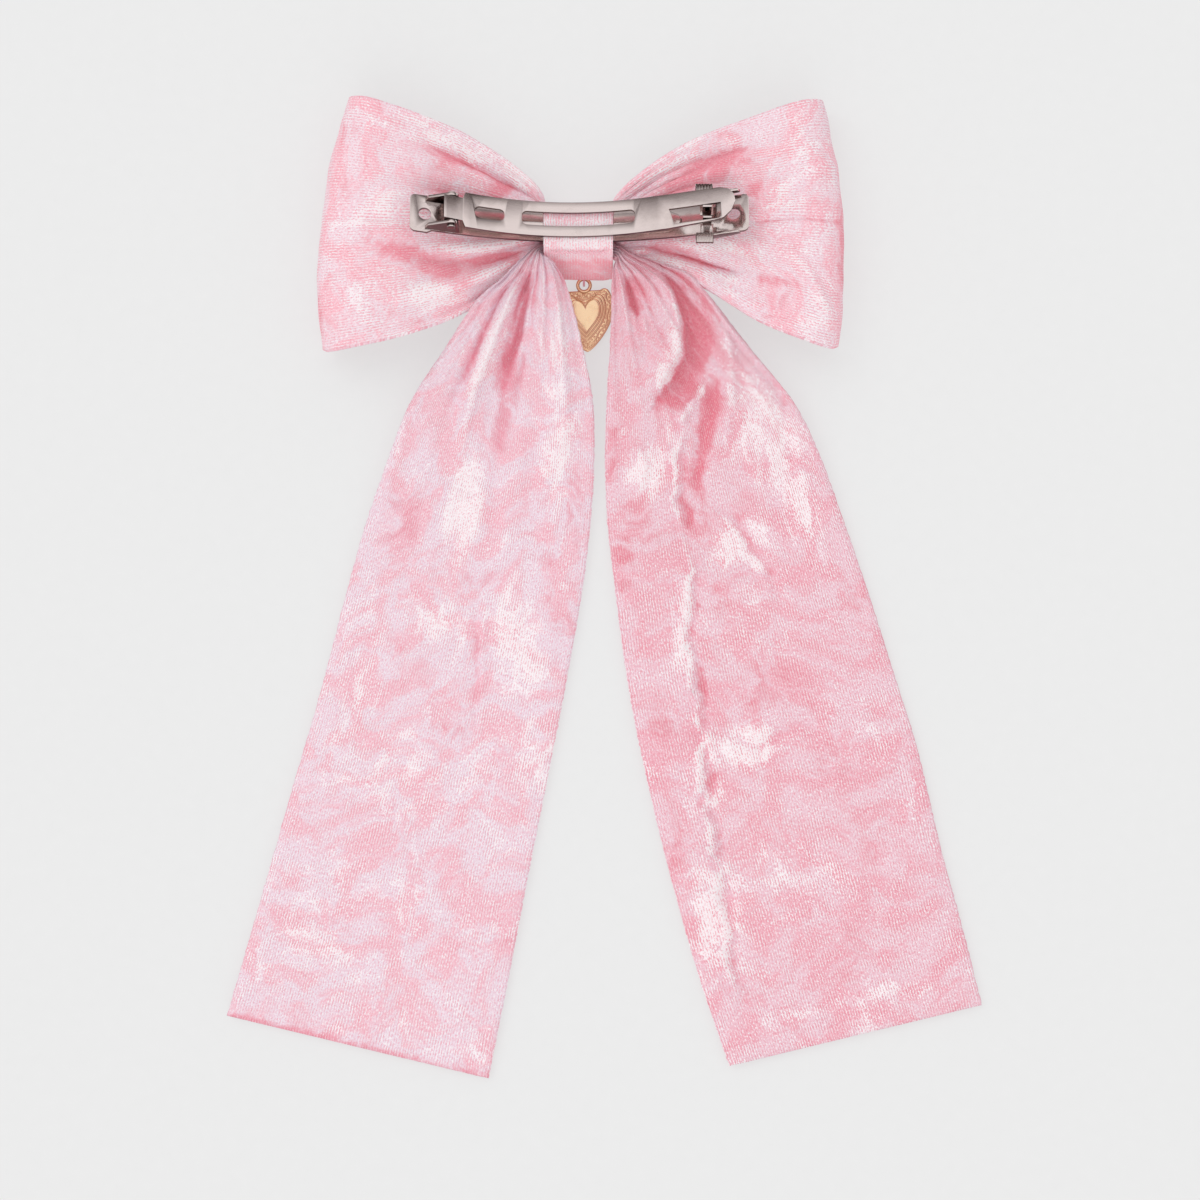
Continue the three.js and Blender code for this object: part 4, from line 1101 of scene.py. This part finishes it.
    right_tail = Tail(
        node="right_tail",
        velvet=CrushedVelvet("velvet_right_tail", rose="F1B1BF", lilac="F0CAD6",
                             coral="EA8192", depth=0.56, pale=0.03),
        stations=(
            (2.5, 0.0, 2.5, -4.6, 8.15, 8.15), (8.8, -0.2, 8.5, -4.2, 10.0, 11.6),
            (14.0, -3.0, 8.2, -6.8, 12.0, 14.0), (21.0, -5.6, 7.9, -10.4, 12.0, 13.4),
            (28.4, -9.5, 7.9, -16.6, 12.4, 12.8), (40.9, -24.7, 7.4, -28, 9.6, 9.8),
            (52.2, -38.4, 6.7, -40, 6.2, 6.4), (58.6, -51, 6.4, -52, 3.7, 3.8),
            (64.5, -67, 6.9, -66, 2.3, 2.3), (70.5, -84.4, 8.4, -80, 1.9, 1.9),
            (77, -105, 11.9, -106, 1.75, 1.75), (82.3, -122, 16.2, -128, 1.75, 1.75),
            (88.0, -146, 22, -152, 1.75, 1.75), (93.4, -166, 28.9, -176.5, 1.75, 1.75),
            (98.1, -184.4, 36.6, -199.3, 1.75, 1.75),
        ),
        creases=(
            Crease(((11.4, -8.8), (12.2, -11.5), (12.8, -15.0), (15.4, -18.4)), -2.6, 2.6, 0.9, 0.95, 0.3),
            Crease(((10, -6.6), (14, -8.2), (18.6, -10.6)), 1.4, 1.2, 1.6, 0.0, 0.4),
            Crease(((18.4, -7.4), (21.8, -12), (24.2, -20), (24.0, -26.5), (20.8, -32), (18.2, -35.4)),
                   2.2, 0.9, 3.2, 0.0, 0.25),
            Crease(((20.6, -7.4), (23.6, -12), (26.2, -20), (26.2, -27), (23.0, -33.4), (19, -38)),
                   -4.0, 4.6, 0.7, 1.0, 0.2, 0.2),
            Crease(((24.0, -43.5), (25.8, -40.0), (31.8, -32.4)), 1.9, 0.9, 1.5, 0.0, 0.35, 0.5),
            Crease(((15.0, -42.4), (20.5, -41.0), (25.0, -38.0)), 1.0, 1.4, 2.6, 0.0, 0.4, 0.4),
            Crease(((33.4, -33), (32.0, -42), (30.0, -52), (28.4, -60)), -1.5, 1.4, 2.4, 0.5, 0.25, 0.8),
            Crease(((26, -10), (31.5, -15.0), (35.6, -22), (37, -33), (35.5, -48)), 1.5, 1.8, 2.0, 0.0, 0.3),
            Crease(((24.2, -42), (23.4, -62), (26.4, -76), (25.6, -96), (28.8, -115), (29.4, -130),
                    (32.6, -149), (35.2, -168), (37.4, -186)), 1.9, 2.2, 0.8, 0.0, 0.06, 2.0),
            Crease(((26.4, -44), (25.6, -62), (28.6, -76), (27.8, -96), (31.0, -115), (31.6, -130),
                    (34.8, -149), (37.4, -168), (39.4, -184)), -1.1, 0.9, 2.2, 0.12, 0.06, 2.0),
            Crease(((30, -62), (38, -66), (46, -78), (50, -90)), -1.0, 1.6, 1.2, 0.3, 0.3, 0.8),
            Crease(((36, -78), (44, -80), (52, -76)), -0.7, 1.2, 2.0, 0.1),
            Crease(((34, -118), (44, -122), (54, -116), (60, -118)), -0.9, 1.2, 1.4, 0.25, 0.3, 0.8),
            Crease(((46, -26), (50, -42), (52, -60)), -1.0, 1.6, 2.4, 0.2),
            Crease(((12, -46), (16, -53), (14, -62)), 1.0, 1.4, 2.4, 0.0, 0.3, 0.6),
        ),
        coral_and_shade_patches=(
            Blot(31.5, -42, 3.0, 12, -10, 0.6), Blot(29, -62, 4, 12, 0, 0.45), Blot(15, -67, 5, 8, 25, 0.6),
            Blot(11.2, -78, 3.4, 10, 0, 0.6), Blot(33, -86, 6, 5, 0, 0.45), Blot(45, -108, 14, 8, 0, 0.45),
            Blot(66, -134, 12, 18, 10, 0.4), Blot(66, -84, 5, 10, 20, 0.4), Blot(24, -150, 3.6, 20, 8, 0.5),
            Blot(8.4, -52, 1.8, 16, 0, 0.5), Blot(60, -170, 12, 8, 0, 0.35), Blot(20, -118, 4, 12, 0, 0.4),
            Blot(18, -40, 6, 3, 30, 0.5), Blot(28.6, -24, 4.0, 9, -8, 0.95), Blot(24.4, -36, 5, 4, 35, 0.9),
        ),
        painted_gleams=(
            Blot(16, -56, 5, 7.5, -35, 1.0), Blot(45, -46, 8, 15, 22, 0.9), Blot(40, -72, 10, 7, 12, 1.0),
            Blot(38.8, -122, 12, 5, 8, 1.0), Blot(30, -134, 5, 8, 0, 0.7), Blot(33, -166, 6, 17, 8, 0.9),
            Blot(25.6, -94, 2.6, 12, 0, 1.0), Blot(21.5, -30, 3, 8, -8, 0.7), Blot(72, -120, 6, 8, 0, 0.35),
            Blot(53, -60, 4, 10, 20, 0.7), Blot(55, -150, 10, 6, 0, 0.4), Blot(62, -184, 22, 2.0, 14, 0.6),
            Blot(28.4, -37, 1.6, 6, -38, 1.0), Blot(22.4, -32.5, 1.6, 3.4, -40, 1.0),
        ),
        hem_coral=0.1, seed=2.0,
    )
    knot = CentreKnot(velvet=CrushedVelvet("velvet_knot", rose="FFCFD9", lilac="FFDDE5",
                                           coral="FFA9B6", depth=0.5, pale=0.05))
    return loops, left_tail, right_tail, knot


# ---------------------------------------------------------------------------------------- the studio
@dataclass
class Studio:
    """A pale table, soft light from the upper left, and a camera straight above the bow."""

    eye: tuple[float, float, float] = (0.0052, -0.086, 0.800)
    lens: float = 98.5
    floor_half: float = 3.0
    key_power: float = 0.52
    room: float = 0.868
    table_glow: float = 0.555
    fill_power: float = 0.30
    walls: tuple[tuple[float, tuple[float, float, float, float]], ...] = (
        (0.22, (0.050, 0.028, 0.026, 1)), (0.72, (0.93, 0.92, 0.92, 1)))

    def build(self) -> None:
        """Set the table, the lights and the camera."""
        self.table()
        self.lights()
        self.camera()

    def camera(self) -> None:
        """Hang the camera over the table, looking straight down."""
        data = bpy.data.cameras.new("above")
        data.lens = self.lens
        data.sensor_width = 36.0
        data.clip_start = 0.01
        made = bpy.data.objects.new("above", data)
        made.location = self.eye
        bpy.context.scene.collection.objects.link(made)
        bpy.context.scene.camera = made

    def table(self) -> None:
        """Lay the pale table top, which glows a little as painted light, thinning the shadows under the bow.
        """
        bpy.ops.mesh.primitive_plane_add(size=2 * self.floor_half, location=(0, 0, 0))
        top = bpy.context.object
        top.name = "table_top"
        g = Graph(bpy.data.materials.new("pale_table"))
        here = g.out(g.node("ShaderNodeTexCoord"), "Object")
        grain = g.noise(g.scaled(here, (300.0, 300.0, 300.0)))
        tone = g.mix((0.26, 0.26, 0.26, 1.0), (0.28, 0.28, 0.28, 1.0), grain)
        # The emission is painted light that lifts the table and fills the shade under the bow.
        top.data.materials.append(g.surface({"Base Color": tone, "Roughness": 0.9, "Specular IOR Level": 0.1,
                                             "Emission Color": (1.0, 1.0, 1.0, 1.0),
                                             "Emission Strength": self.table_glow}))

    def soft_sun(self, name: str, power: float, spread: float, aim: tuple[float, float, float]) -> None:
        """Add one broad light that shapes the cloth and leaves the plating's reflections alone.

        Args:
            name: the light's name.
            power: its strength.
            spread: how wide it looks, in degrees.
            aim: the direction in which it shines.
        """
        data = bpy.data.lights.new(name, "SUN")
        data.energy = power
        data.angle = math.radians(spread)
        made = bpy.data.objects.new(name, data)
        made.rotation_euler = Vector(aim).to_track_quat("-Z", "Y").to_euler()
        made.visible_glossy = False
        bpy.context.scene.collection.objects.link(made)

    def lights(self) -> None:
        """Two broad suns in a pale room whose walls reflect dark low down, in the plating only."""
        self.soft_sun("softbox", self.key_power, 38, (0.62, -0.55, -1.0))
        self.soft_sun("reflector", self.fill_power, 60, (0.05, 0.9, -0.6))
        world = bpy.data.worlds.new("studio")
        g = Graph(world)
        around = g.out(g.node("ShaderNodeTexCoord"), "Generated")
        height = g.out(g.node("ShaderNodeSeparateXYZ", {}, {0: around}), "Z")
        walls = g.out(g.node("ShaderNodeValToRGB", {"stops": self.walls}, {0: height}))
        soft = g.out(g.node("ShaderNodeBackground", {}, {"Color": (self.room, self.room, self.room, 1)}))
        mirrored = g.out(g.node("ShaderNodeBackground", {}, {"Color": walls}))
        glossy = g.out(g.node("ShaderNodeLightPath"), "Is Glossy Ray")
        shown = g.out(g.node("ShaderNodeMixShader", {}, {0: glossy, 1: soft, 2: mirrored}))
        g.node("ShaderNodeOutputWorld", {}, {0: shown})
        bpy.context.scene.world = world
        bpy.context.scene.view_settings.view_transform = "Standard"


def main() -> None:
    """Load the frame, build every piece in order and report each one."""
    logging.basicConfig(level=logging.INFO, format="%(message)s", stream=sys.stdout)
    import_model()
    bpy.ops.object.select_all(action="DESELECT")
    Studio().build()
    loops, left_tail, right_tail, knot = bow_patterns()
    loops.build()
    left_tail.build()
    right_tail.build()
    knot.build()
    FrenchClip().build()
    HeartCharm().build()
    Threads().build()


if __name__ == "__main__":
    main()
